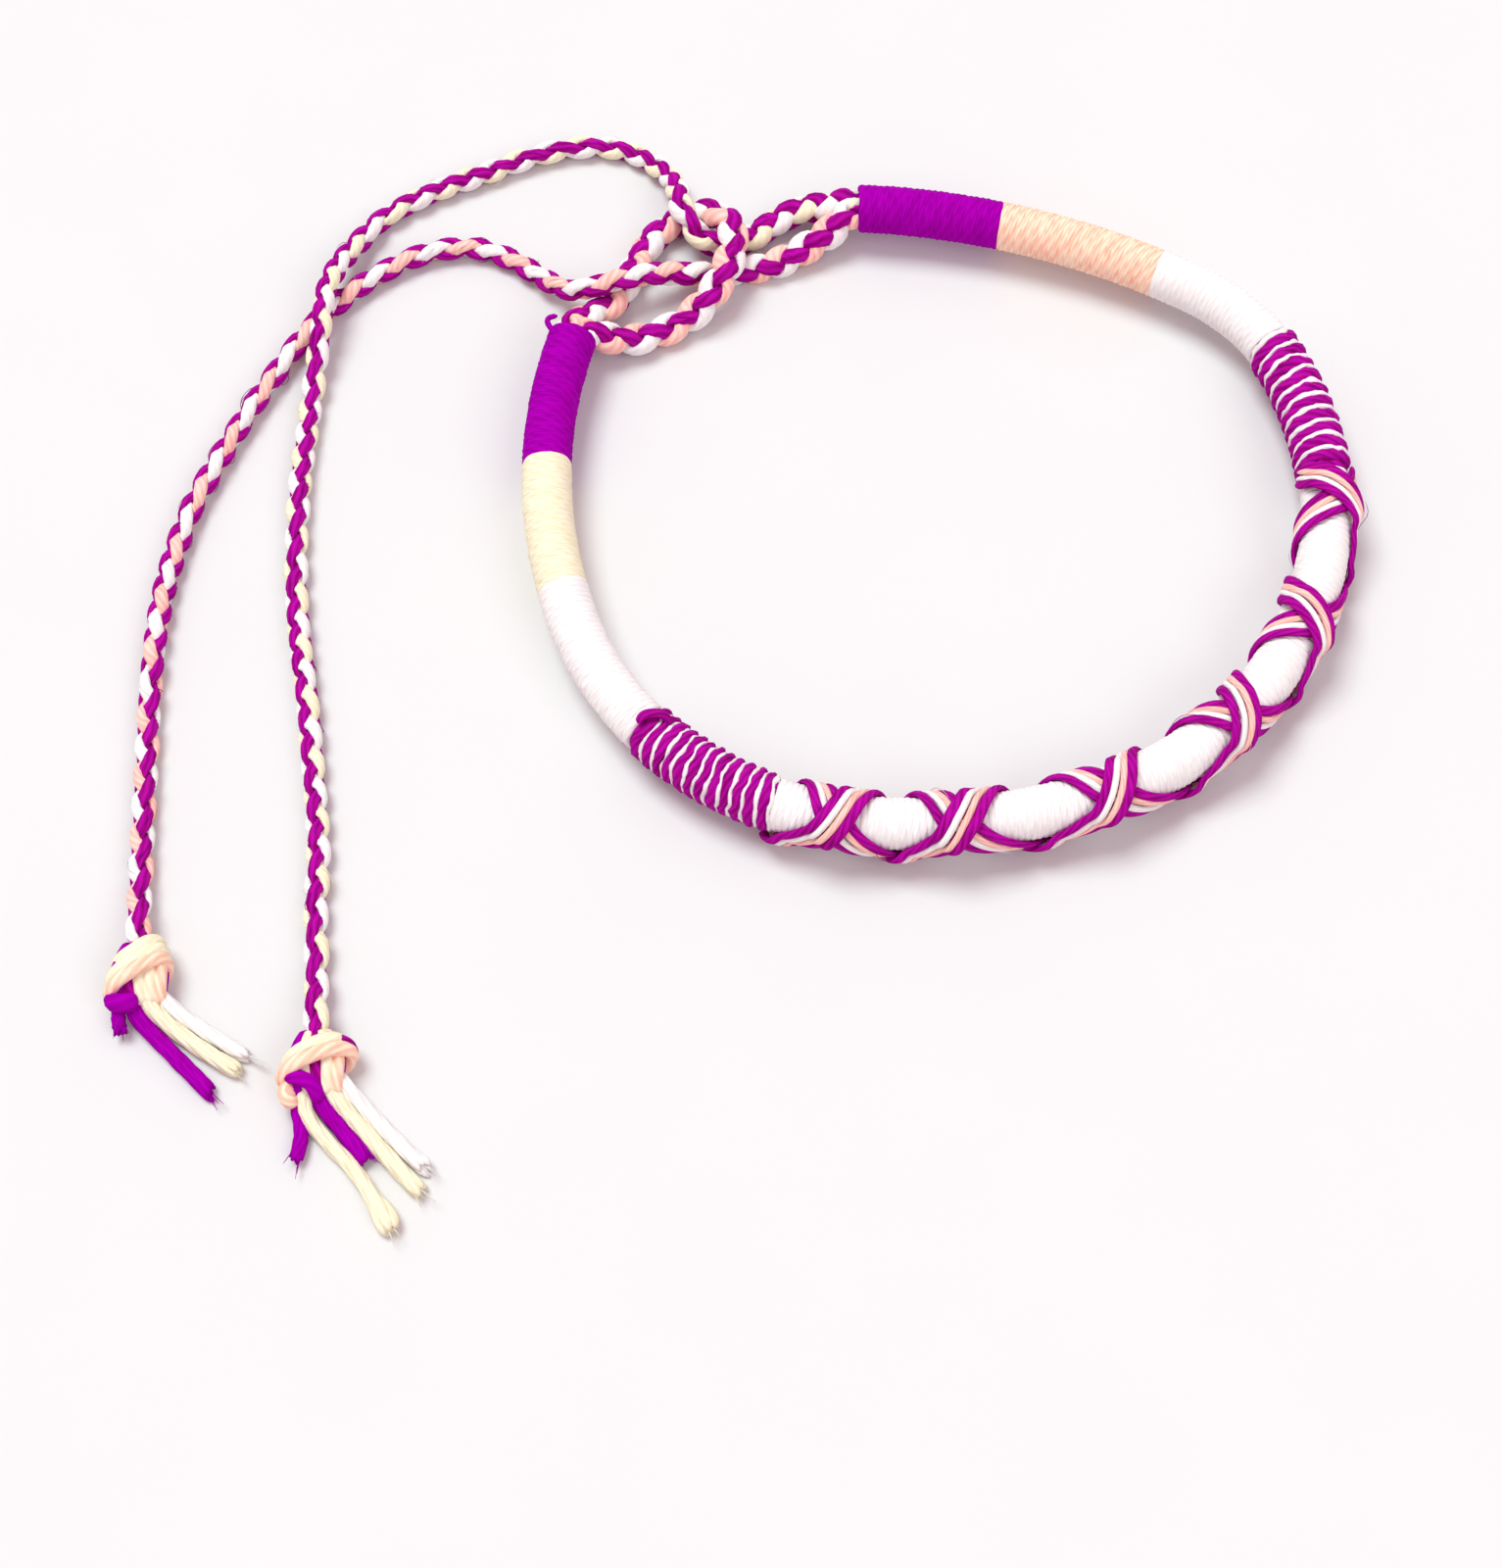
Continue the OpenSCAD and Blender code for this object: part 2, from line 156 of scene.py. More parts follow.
class ThreadGroups:
    """Shader node groups that every thread finish shares.

    Attributes:
        fibres: Plies and fine fibres of a twisted thread.
        dye: Colour of the cotton, with painted shade between its fibres and a drifting tone.
    """

    SOCKETS = {
        type(None): "NodeSocketVector", float: "NodeSocketFloat", tuple: "NodeSocketColor",
    }
    PLY_DEPTH, PLY_LEVEL = 0.16, 0.12
    HAIR_DEPTH, HAIR_STRETCH, HAIR_DETAIL, HAIR_ROUGHNESS = 0.8, 0.22, 3.0, 0.7
    DRIFT_SCALE, DRIFT_DETAIL = 0.45, 2.0
    # Weights of the painted groove shade and of the tone's drift, and the range that their sum is
    # spread over.
    DYE_BY_RELIEF, DYE_BY_DRIFT = 0.6, 0.4
    DYE_FROM, DYE_TO = 0.28, 0.62

    def __init__(self) -> None:
        """Builds both groups once."""
        self.fibres = self._fibres()
        self.dye = self._dye()

    def _group(self, name: str, inputs: dict[str, object], outputs: dict[str, object]) -> Tree:
        """Makes an empty group with named sockets.

        Args:
            name: Name of the group.
            inputs: Default value by input name, which is None for a vector.
            outputs: The same for the outputs.

        Returns:
            The node group, with its input and output nodes named "In" and "Out".
        """
        tree = bpy.data.node_groups.new(name, "ShaderNodeTree")
        for side, sockets in (("INPUT", inputs), ("OUTPUT", outputs)):
            for label, value in sockets.items():
                kind = self.SOCKETS[type(value)]
                socket = tree.interface.new_socket(name=label, in_out=side, socket_type=kind)
                if value is not None:
                    socket.default_value = value
        tree.nodes.new("NodeGroupInput").name = "In"
        tree.nodes.new("NodeGroupOutput").name = "Out"
        return tree

    def _fibres(self) -> Tree:
        """Plies and fine fibres that run along a twisted thread.

        Returns:
            A group whose UV input is the way along the thread in millimetres and the share round
            it. Its outputs are the relief and a slow drift along the thread, both from 0 to 1.
        """
        tree = self._group(
            "thread_fibres", {"UV": None, "Twist": 0.3, "Plies": 5.0, "Fineness": 3.6},
            {"Relief": 0.5, "Drift": 0.5},
        )
        given = tree.nodes["In"].outputs
        split = add_node(tree, "SeparateXYZ", {0: given["UV"]})
        along, around = split.outputs[0], split.outputs[1]
        twist = add_math(tree, "MULTIPLY", along, given["Twist"])
        angle = add_math(tree, "MULTIPLY", add_math(tree, "ADD", around, twist), 2 * math.pi)
        plies = add_math(tree, "SINE", add_math(tree, "MULTIPLY", angle, given["Plies"]))
        place = add_node(tree, "CombineXYZ", {
            0: add_math(tree, "COSINE", angle), 1: add_math(tree, "SINE", angle),
            2: add_math(tree, "MULTIPLY", along, self.HAIR_STRETCH),
        })
        hair = add_node(tree, "TexNoise", {
            "Vector": place.outputs[0], "Scale": given["Fineness"],
            "Detail": self.HAIR_DETAIL, "Roughness": self.HAIR_ROUGHNESS,
        })
        drift = add_node(tree, "TexNoise", {
            "Vector": given["UV"], "Scale": self.DRIFT_SCALE, "Detail": self.DRIFT_DETAIL,
        })
        ply = add_math(tree, "MULTIPLY_ADD", plies, self.PLY_DEPTH, self.PLY_LEVEL)
        relief = add_math(tree, "MULTIPLY_ADD", hair.outputs[0], self.HAIR_DEPTH, ply)
        set_inputs(tree, tree.nodes["Out"], {"Relief": relief, "Drift": drift.outputs[0]})
        return tree

    def _dye(self) -> Tree:
        """Colour of the cotton: painted shade, deeper between the fibres, and a tone drifting along
        the thread.

        Returns:
            The node group.
        """
        white, grey = (1.0, 1.0, 1.0, 1.0), (0.5, 0.5, 0.5, 1.0)
        tree = self._group(
            "thread_dye", {"Lit": white, "Deep": grey, "Relief": 0.5, "Drift": 0.5},
            {"Colour": white},
        )
        given = tree.nodes["In"].outputs
        # Painted shade: the colour goes towards the shaded one where the fibres' relief is low; the
        # drift adds a real tone along the thread.
        drift = add_math(tree, "MULTIPLY", given["Drift"], self.DYE_BY_DRIFT)
        total = add_math(tree, "MULTIPLY_ADD", given["Relief"], self.DYE_BY_RELIEF, drift)
        spread = add_node(tree, "MapRange", {
            "Value": total, "From Min": self.DYE_FROM, "From Max": self.DYE_TO,
        })
        colour = add_mix(tree, spread.outputs[0], given["Deep"], given["Lit"])
        set_inputs(tree, tree.nodes["Out"], {"Colour": colour})
        return tree


@dataclass(frozen=True)
class ThreadFinish:
    """Finish of one colour of cotton thread.

    Attributes:
        lit: Colour of the thread's crests, linear.
        deep: Painted shade between its fibres, also its darker drifting tone, linear.
        relief: Depth of the fibres' bump, in millimetres.
        twist: Turns of the plies for each millimetre.
    """

    lit: Colour
    deep: Colour
    sheen: float = 0.1
    specular: float = 0.15
    roughness: float = 0.72
    sheen_roughness: float = 0.45
    relief: float = 0.12
    bump: float = 0.7
    twist: float = 0.12

    def material(self, name: str, groups: ThreadGroups) -> bpy.types.Material:
        """Builds the material.

        Args:
            name: Name of the material.
            groups: Shared node groups.

        Returns:
            The material.
        """
        material = bpy.data.materials.new(name)
        material.use_nodes = True
        tree = material.node_tree
        place = add_node(tree, "UVMap", {}, uv_map=THREAD_UV)
        fibres = add_node(
            tree, "Group", {"UV": place.outputs[0], "Twist": self.twist}, node_tree=groups.fibres
        )
        relief = fibres.outputs["Relief"]
        # Painted shade: the base colour goes from the lit colour to the shaded one where the
        # fibres' relief is low.
        dye = add_node(
            tree, "Group",
            {
                "Lit": (*self.lit, 1), "Deep": (*self.deep, 1),
                "Relief": relief, "Drift": fibres.outputs["Drift"],
            },
            node_tree=groups.dye,
        )
        bump = add_node(tree, "Bump", {
            "Strength": self.bump, "Distance": self.relief * MM, "Height": relief,
        })
        set_inputs(tree, tree.nodes["Principled BSDF"], {
            "Base Color": dye.outputs["Colour"], "Normal": bump.outputs[0],
            "Roughness": self.roughness, "Specular IOR Level": self.specular,
            "Sheen Weight": self.sheen, "Sheen Roughness": self.sheen_roughness,
        })
        return material


# Lit colour and shaded colour of each thread; the shaded one is painted shade in the grooves
# between the fibres.
FINISHES = {
    Tone.PURPLE: ThreadFinish((0.41, 0.0, 0.43), (0.24, 0.0, 0.24), sheen=0.0, specular=0.01),
    Tone.VIOLET: ThreadFinish((0.47, 0.004, 0.35), (0.15, 0.0, 0.08), sheen=0.0, specular=0.02),
    Tone.CREAM: ThreadFinish((0.90, 0.86, 0.66), (0.86, 0.70, 0.46)),
    Tone.PEACH: ThreadFinish((0.98, 0.76, 0.58), (0.96, 0.37, 0.25)),
    Tone.ROSE: ThreadFinish((0.97, 0.64, 0.56), (0.94, 0.33, 0.28)),
    Tone.WHITE: ThreadFinish((0.90, 0.88, 0.87), (0.86, 0.75, 0.76)),
}


# Lines


def spline(points: np.ndarray, steps: int) -> np.ndarray:
    """Runs one smooth curve through points, as the part's source does.

    Args:
        points: Points to pass through, one a row.
        steps: Pieces between two points, as many on a route as in the part's source.

    Returns:
        Points on the curve.
    """
    last = len(points) - 1
    out = []
    for i in range(last):
        a, b, c, d = points[max(i - 1, 0)], points[i], points[i + 1], points[min(i + 2, last)]
        square, cube = 2 * a - 5 * b + 4 * c - d, 3 * b - a - 3 * c + d
        for t in (k / steps for k in range(steps)):
            out.append(0.5 * (2 * b + (c - a) * t + square * t * t + cube * t**3))
    out.append(points[-1])
    return np.array(out)


def way_along(points: np.ndarray) -> np.ndarray:
    """Returns the distance from the first point to each point, along the line."""
    return np.concatenate([[0.0], np.cumsum(np.linalg.norm(np.diff(points, axis=0), axis=1))])


def even_steps(points: np.ndarray, step: float) -> np.ndarray:
    """Places points evenly along a line.

    Args:
        points: Corners of the line, one a row.
        step: Distance between two new points.

    Returns:
        The new points, both ends among them.
    """
    reach = way_along(points)
    wanted = np.linspace(0, reach[-1], max(2, round(reach[-1] / step) + 1))
    return np.stack([np.interp(wanted, reach, points[:, axis]) for axis in range(3)], axis=1)


def unit(vectors: np.ndarray) -> np.ndarray:
    """Returns the vectors at length one."""
    return vectors / np.linalg.norm(vectors, axis=-1, keepdims=True)


def tangents(points: np.ndarray) -> np.ndarray:
    """Returns the heading of a line at each of its points."""
    return unit(np.gradient(points, axis=0))


def level_frame(points: np.ndarray) -> tuple[np.ndarray, np.ndarray]:
    """Frame that keeps upright along a line which is nowhere near vertical.

    Args:
        points: The line, one point a row.

    Returns:
        The directions across and up, for each point.
    """
    along = tangents(points)
    across = unit(np.cross(UP, along))
    return across, np.cross(along, across)


def to_right(way: np.ndarray) -> np.ndarray:
    """Returns the level direction to the right of a heading, seen from above."""
    return np.array([way[1], -way[0], 0.0])


def fan(across: np.ndarray, up: np.ndarray, turn: np.ndarray) -> np.ndarray:
    """Returns the directions at an angle in radians from across towards up, for each point."""
    return np.cos(turn)[:, None] * across + np.sin(turn)[:, None] * up


def eased(share: np.ndarray) -> np.ndarray:
    """Returns shares from 0 to 1 with a soft start and end."""
    return share * share * (3 - 2 * share)


def smooth_noise(rng: np.random.Generator, x: np.ndarray, size: float) -> np.ndarray:
    """Seeded smooth noise along a line.

    Args:
        rng: Source of the seeded numbers.
        x: Places on the line.
        size: Distance between two independent values.

    Returns:
        Values from -1 to 1, one a place.
    """
    span = (x - x.min()) / size
    knots = rng.uniform(-1, 1, int(span.max()) + 3)
    i = np.floor(span).astype(int)
    t = eased(span - i)
    return knots[i] * (1 - t) + knots[i + 1] * t


def add_object(name: str, data: bpy.types.ID) -> Piece:
    """Adds an object to the scene.

    Args:
        name: Its name.
        data: Its mesh, curve, light or camera.

    Returns:
        The object.
    """
    item = bpy.data.objects.new(name, data)
    bpy.context.scene.collection.objects.link(item)
    return item


@dataclass
class BandRoute:
    """Middle line of the wound band, laid out as in the part's source.

    Attributes:
        round_r: Radius that the bends are shares of.
        start_heading: Heading of the band at the eye's end, in degrees.
        bends: Its arcs from the eye's end: radius over round_r, and sweep in degrees.
        left: Nodes and lengths of the windings from the eye's end to the front.
        right: Nodes and lengths of the windings from the ties' end back to the front.
        cross_gap: Gap between a crossed band and what it lies on.
        cross_t: Thickness of a crossed band.
        gap: Gap between neighbours.
        samples: Points on the band from which the ring's middle is found.
        spans: Where each winding starts and ends, by node.
    """

    NEAR = 0.05

    round_r: float = 36.0
    band_d: float = 4.5
    start_heading: float = -106.0
    bends: tuple[tuple[float, float], ...] = (
        (1.40, 36), (0.83, 66), (1.35, 21), (0.94, 96), (0.52, 36), (1.88, 28),
    )
    left: tuple[tuple[str, float], ...] = (
        ("purple_left", 14.4), ("cream_left", 13.5), ("white_left", 16.0), ("whipping_left", 13.7),
    )
    right: tuple[tuple[str, float], ...] = (
        ("purple_right", 13.5), ("peach_right", 15.7),
        ("white_right", 13.0), ("whipping_right", 15.6),
    )
    cross_gap: float = 0.28
    cross_t: float = 0.5
    gap: float = 0.05
    samples: int = 121
    guide_points: int = 371

    def __post_init__(self) -> None:
        """Works out where each bend and each winding starts, and centres the ring."""
        self.band_r = self.band_d / 2
        self.cross_low_r = self.band_r + self.cross_gap
        cross_lift = self.cross_t + self.cross_gap
        self.axis_z = self.cross_low_r + cross_lift + self.cross_t + self.gap
        self._lay_bends()
        self._lay_windings()
        ring = np.linspace(0, self.length, self.samples)
        crossed = (ring > self.front_from) & (ring < self.front_to)
        edge = self._raw(ring, np.where(crossed, self.cross_low_r + self.cross_t, self.band_r))
        self.middle = (edge.min(axis=0) + edge.max(axis=0)) / 2

    def _lay_bends(self) -> None:
        """Works out each bend's start, heading, centre and radius."""
        shares, sweeps = np.array(self.bends).T
        self.radii = shares * self.round_r
        ends = np.cumsum(np.radians(sweeps) * self.radii)
        self.length = ends[-1]
        self.starts = np.concatenate([[0.0], ends[:-1]])
        self.headings = self.start_heading + np.cumsum(sweeps) - sweeps
        shift = -np.diff(self.radii, prepend=0.0)
        self.centres = np.cumsum(shift[:, None] * self._outward(self.headings), axis=0)

    def _lay_windings(self) -> None:
        """Works out from where to where each winding goes."""
        self.spans: dict[str, tuple[float, float]] = {}
        s = 0.0
        for node, long in self.left:
            self.spans[node] = (s, s + long - self.gap)
            s += long
        self.front_from = s
        s = end = self.length
        for node, long in self.right:
            self.spans[node] = (s - long, end)
            s -= long
            end = s - self.gap
        self.front_to = s
        self.spans["white_front"] = (self.front_from, end)

    @staticmethod
    def _outward(heading: float | np.ndarray) -> np.ndarray:
        """Returns the direction away from the ring's inside at a heading in degrees."""
        return np.stack([np.sin(np.radians(heading)), -np.cos(np.radians(heading))], axis=-1)

    def _raw(self, s: np.ndarray, r: np.ndarray) -> np.ndarray:
        """Finds points before the ring is centred.

        Args:
            s: Ways along the band.
            r: Distances off its middle line, away from the ring's inside.

        Returns:
            Points on the level, one a row.
        """
        i = np.clip(np.searchsorted(self.starts, s, side="right") - 1, 0, len(self.bends) - 1)
        heading = self.headings[i] + np.degrees((s - self.starts[i]) / self.radii[i])
        return self.centres[i] + (self.radii[i] + r)[..., None] * self._outward(heading)

    def place(self, s: np.ndarray, r: np.ndarray, angle: np.ndarray) -> np.ndarray:
        """Finds points on or about the band. Each argument may be one number for all of them.

        Args:
            s: Ways along the band.
            r: Radii off its middle line.
            angle: Angles round it, in degrees.

        Returns:
            Points in millimetres, one a row.
        """
        s, r, angle = np.broadcast_arrays(*(np.asarray(v, float) for v in (s, r, angle)))
        turn = np.radians(angle)
        flat = self._raw(s, r * np.cos(turn)) - self.middle
        return np.concatenate([flat, (self.axis_z + r * np.sin(turn))[..., None]], axis=-1)

    def heading_at(self, s: float) -> np.ndarray:
        """Finds the level direction of the band.

        Args:
            s: Way along the band.

        Returns:
            The direction, towards the ties' end.
        """
        s = min(max(s, self.NEAR), self.length - self.NEAR)
        near = self.place(np.array([s - self.NEAR, s + self.NEAR]), 0, 0)
        return unit(near[1] - near[0])

    def guide(self) -> Piece:
        """Makes the curve that straight windings are bent along.

        Returns:
            A curve object along the whole band, removed when the windings are done.
        """
        points = self.place(np.linspace(0, self.length, self.guide_points), 0, 0) * MM
        data = bpy.data.curves.new("band_guide", "CURVE")
        data.dimensions = "3D"
        data.twist_mode = "Z_UP"
        line = data.splines.new("POLY")
        line.points.add(len(points) - 1)
        line.points.foreach_set("co", np.column_stack([points, np.ones(len(points))]).ravel())
        return add_object("band_guide", data)


# Making meshes


class Bench:
    """What the pieces are made with.

    Attributes:
        route: The band's route.
        guide: Curve along the band.
        materials: Thread materials by tone.
    """

    def __init__(self) -> None:
        """Lays out the band and makes its guide and the materials."""
        self.route = BandRoute()
        self.guide = self.route.guide()
        groups = ThreadGroups()
        self.materials = {t: finish.material(t.value, groups) for t, finish in FINISHES.items()}


def deselect_all() -> None:
    """Leaves nothing selected, the CAD nodes among them."""
    for item in bpy.context.scene.objects:
        item.select_set(False)


def only(item: Piece) -> None:
    """Selects one object and makes it the active one.

    Args:
        item: The object.
    """
    deselect_all()
    item.select_set(True)
    bpy.context.view_layer.objects.active = item


def join(items: list[Piece], name: str) -> Piece:
    """Joins objects into one.

    Args:
        items: Objects to join. The first one stays.
        name: Name of the joined object.

    Returns:
        The joined object.
    """
    only(items[0])
    for item in items[1:]:
        item.select_set(True)
    bpy.ops.object.join()
    items[0].name = items[0].data.name = name
    return items[0]


def close_up(piece: Piece, fill: bool = False) -> None:
    """Turns a mesh's faces outwards and shades it smooth.

    Args:
        piece: The object.
        fill: Whether its open ends are filled first.
    """
    only(piece)
    bpy.ops.object.mode_set(mode="EDIT")
    bpy.ops.mesh.select_all(action="SELECT")
    if fill:
        bpy.ops.mesh.fill_holes(sides=0)
        bpy.ops.mesh.select_all(action="SELECT")
    bpy.ops.mesh.normals_make_consistent(inside=False)
    bpy.ops.object.mode_set(mode="OBJECT")
    bpy.ops.object.shade_smooth()


def hand_in(piece: Piece, node: str, tone: Tone) -> Piece:
    """Puts a finished piece on its body, and hides the CAD node that it replaces.

    Args:
        piece: The finished object.
        node: CAD node that it replaces.
        tone: Not used.

    Returns:
        The same object.
    """
    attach(piece, BODY)
    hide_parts(node)
    return piece


@dataclass
class Strand:
    """One thread along a line.

    Attributes:
        path: Its middle line in millimetres, one point a row.
        outward: Direction of its thinner side, for each point.
        half_width: Half its breadth, at right angles to outward.
        half_height: Half its thickness, along outward.
        phase: Where its ply pattern starts, in millimetres.
    """

    path: np.ndarray
    outward: np.ndarray
    half_width: float | np.ndarray
    half_height: float | np.ndarray
    tone: Tone
    phase: float = 0.0


@dataclass
class Spool:
    """Sweeps strands into one mesh with a UV map that follows each thread.

    Attributes:
        floor: Lowest height of a vertex in millimetres, where threads press on the surface.
        strands: Threads laid so far.
    """

    END_SHRINK = (0.35, 0.75)
    HAIR_POINTS, HAIR_CLEAR, HAIR_HALF_WIDTH = 8, 3, 0.03
    HAIR_ARCH, HAIR_LIFT, HAIR_STRAY, HAIR_ROOT = (0.5, 0.9), (0.15, 0.36), (-0.2, 0.2), 0.25

    materials: dict[Tone, bpy.types.Material]
    sides: int = 10
    floor: float = -math.inf
    strands: list[Strand] = field(default_factory=list)

    def lay(self, strand: Strand) -> None:
        """Adds a strand."""
        self.strands.append(strand)

    def fuzz(self, seed: int, count: int) -> None:
        """Lets single fine fibres stand off the strands laid so far.

        Args:
            seed: Seed of their places.
            count: How many there are, less those that fall on a short strand.
        """
        rng = np.random.default_rng(seed)
        laid = list(self.strands)
        for strand in (laid[i] for i in rng.integers(0, len(laid), count)):
            if len(strand.path) < 2 * self.HAIR_POINTS:
                continue
            last = len(strand.path) - self.HAIR_POINTS - self.HAIR_CLEAR
            i = int(rng.integers(self.HAIR_CLEAR, last))
            root, outward = (line[i:i + self.HAIR_POINTS] for line in (strand.path, strand.outward))
            arch = np.linspace(0, rng.uniform(*self.HAIR_ARCH) * math.pi, self.HAIR_POINTS)
            reach = rng.uniform(*self.HAIR_LIFT) * unit(outward) + rng.uniform(*self.HAIR_STRAY, 3)
            path = root + outward * self.HAIR_ROOT + np.sin(arch)[:, None] * reach
            half = self.HAIR_HALF_WIDTH
            self.lay(Strand(path, outward, half, half, strand.tone))

    def _rings(self, strand: Strand) -> np.ndarray:
        """Works out a strand's rings of vertices, with rounded ends.

        Args:
            strand: The strand.

        Returns:
            Its vertices, by ring and side.
        """
        along = tangents(strand.path)
        tilt = np.sum(strand.outward * along, axis=1, keepdims=True)
        out = unit(strand.outward - tilt * along)
        side = np.cross(out, along)
        shrink = np.ones(len(strand.path))
        for i, share in enumerate(self.END_SHRINK):
            shrink[i] = shrink[-1 - i] = share
        turn = np.linspace(0, 2 * math.pi, self.sides, endpoint=False)[None, :, None]
        wide = (strand.half_width * shrink)[:, None, None]
        high = (strand.half_height * shrink)[:, None, None]
        rings = (
            strand.path[:, None, :]
            + wide * np.cos(turn) * side[:, None, :]
            + high * np.sin(turn) * out[:, None, :]
        )
        rings[..., 2] = np.maximum(rings[..., 2], self.floor)
        return rings

    def make(self, name: str) -> Piece:
        """Makes the mesh.

        Args:
            name: Name of the piece.

        Returns:
            The finished object, at the origin.
        """
        m = self.sides
        tones = list(dict.fromkeys(strand.tone for strand in self.strands))
        verts, faces, uvs, slots = [], [], [], []
        base = 0
        for strand in self.strands:
            rings = self._rings(strand)
            count = len(rings)
            verts.append(rings.reshape(-1, 3))
            reach = way_along(strand.path) + strand.phase
            i, k = np.meshgrid(np.arange(count - 1), np.arange(m), indexing="ij")
            a, b = base + i * m + k, base + i * m + (k + 1) % m
            faces.extend(np.stack([a, b, b + m, a + m], axis=-1).reshape(-1, 4).tolist())
            u0, u1, v0, v1 = reach[i], reach[i + 1], k / m, (k + 1) / m
            uvs.append(np.stack([u0, v0, u0, v1, u1, v1, u1, v0], axis=-1).ravel())
            last = base + (count - 1) * m
            for first, u, order in (
                (base, reach[0], range(m - 1, -1, -1)), (last, reach[-1], range(m)),
            ):
                faces.append([first + j for j in order])
                uvs.append(np.array([[u, j / m] for j in order]).ravel())
            slots.extend([tones.index(strand.tone)] * ((count - 1) * m + 2))
            base += count * m
        mesh = bpy.data.meshes.new(name)
        mesh.from_pydata((np.concatenate(verts) * MM).tolist(), [], faces)
        mesh.uv_layers.new(name=THREAD_UV).data.foreach_set("uv", np.concatenate(uvs))
        for tone in tones:
            mesh.materials.append(self.materials[tone])
        mesh.polygons.foreach_set("material_index", slots)
        piece = add_object(name, mesh)
        close_up(piece)
        return piece


# The wound band


@dataclass
class WoundThread:
    """A thread wound round the band in close turns, modelled straight and bent along the band.

    Attributes:
        s_from: Way along the band where its middle starts.
        s_to: Way along the band where its middle ends.
        top_r: Outermost radius of the thread.
        half_width: Half the thread's breadth along the band.
        half_height: Half its thickness.
        start_turn: Angle at which it starts, in degrees. At 90 it starts at the underside.
    """

    WAVER_SIZE, RUFFLE_SIZE = 1.6, 0.7

    s_from: float
    s_to: float
    turns: int
    top_r: float
    half_width: float
    half_height: float
    tone: Tone
    waver: float = 0.12
    ruffle: float = 0.06
    sides: int = 8
    steps_a_turn: int = 40
    start_turn: float = 90.0

    def make(self, name: str, bench: Bench) -> Piece:
        """Screws the thread's section into turns and bends them along the band.

        Args:
            name: Name of the object.
            bench: Guide curve and materials.

        Returns:
            The wound thread, at the origin.
        """
        deselect_all()
        bpy.ops.mesh.primitive_circle_add(
            vertices=self.sides, radius=1.0, rotation=(math.pi / 2, 0, 0)
        )
        thread = bpy.context.active_object
        thread.name = thread.data.name = name
        bpy.ops.object.transform_apply(location=True, rotation=True, scale=True)
        bpy.ops.object.mode_set(mode="EDIT")
        bpy.ops.mesh.select_all(action="SELECT")
        bpy.ops.transform.resize(value=(self.half_height * MM, 1.0, self.half_width * MM))
        off = (self.top_r - self.half_height) * MM
        bpy.ops.transform.translate(value=(off, 0.0, self.s_from * MM))
        bpy.ops.transform.rotate(
            value=math.radians(self.start_turn), orient_axis="Z", center_override=(0.0, 0.0, 0.0)
        )
        bpy.ops.object.mode_set(mode="OBJECT")
        self._modify(thread, bench.guide)
        close_up(thread, fill=True)
        self._unwrap(thread.data)
        thread.data.materials.append(bench.materials[self.tone])
        return thread

    def _modify(self, thread: Piece, guide: Piece) -> None:
        """Gives the section its turns, makes them uneven and bends them along the band.

        Args:
            thread: The section, which becomes the thread.
            guide: Curve along the band.
        """
        screw = thread.modifiers.new("turns", "SCREW")
        screw.angle = 2 * math.pi * self.turns
        screw.screw_offset = (self.s_to - self.s_from) * MM
        screw.steps = screw.render_steps = self.turns * self.steps_a_turn
        screw.iterations = 1
        screw.use_smooth_shade = True
        for name, way, depth, size in (
            ("waver", "Z", self.waver, self.WAVER_SIZE),
            ("ruffle", "NORMAL", self.ruffle, self.RUFFLE_SIZE),
        ):
            swell = bpy.data.textures.new(name, "CLOUDS")
            swell.noise_scale, swell.noise_depth = size * MM, 1
            uneven = thread.modifiers.new(name, "DISPLACE")
            uneven.texture, uneven.texture_coords = swell, "LOCAL"
            uneven.direction, uneven.mid_level = way, 0.5
            uneven.strength = 2 * depth * MM
        bend = thread.modifiers.new("bend", "CURVE")
        bend.object, bend.deform_axis = guide, "POS_Z"
        only(thread)
        for step in [modifier.name for modifier in thread.modifiers]:
            bpy.ops.object.modifier_apply(modifier=step)

    def _unwrap(self, mesh: bpy.types.Mesh) -> None:
        """Gives the turns a UV map: the way along the thread, and the share round it.

        Args:
            mesh: The thread's mesh, whose vertices are in rings of its sides.
        """
        corners = np.empty(len(mesh.loops), dtype=np.int64)
        mesh.loops.foreach_get("vertex_index", corners)
        ring, side = corners // self.sides, (corners % self.sides).astype(float)
        starts = np.empty(len(mesh.polygons), dtype=np.int64)
        mesh.polygons.foreach_get("loop_start", starts)
        sizes = np.diff(np.append(starts, len(corners)))
        face = np.repeat(np.arange(len(starts)), sizes)
        seam = np.zeros(len(starts), dtype=bool)
        np.logical_or.at(seam, face, side == self.sides - 1)
        side[seam[face] & (side == 0) & (sizes[face] == 4)] = self.sides
        step = 2 * math.pi * self.top_r / self.steps_a_turn
        layer = mesh.uv_layers.get(THREAD_UV) or mesh.uv_layers.new(name=THREAD_UV)
        layer.data.foreach_set("uv", np.column_stack([ring * step, side / self.sides]).ravel())


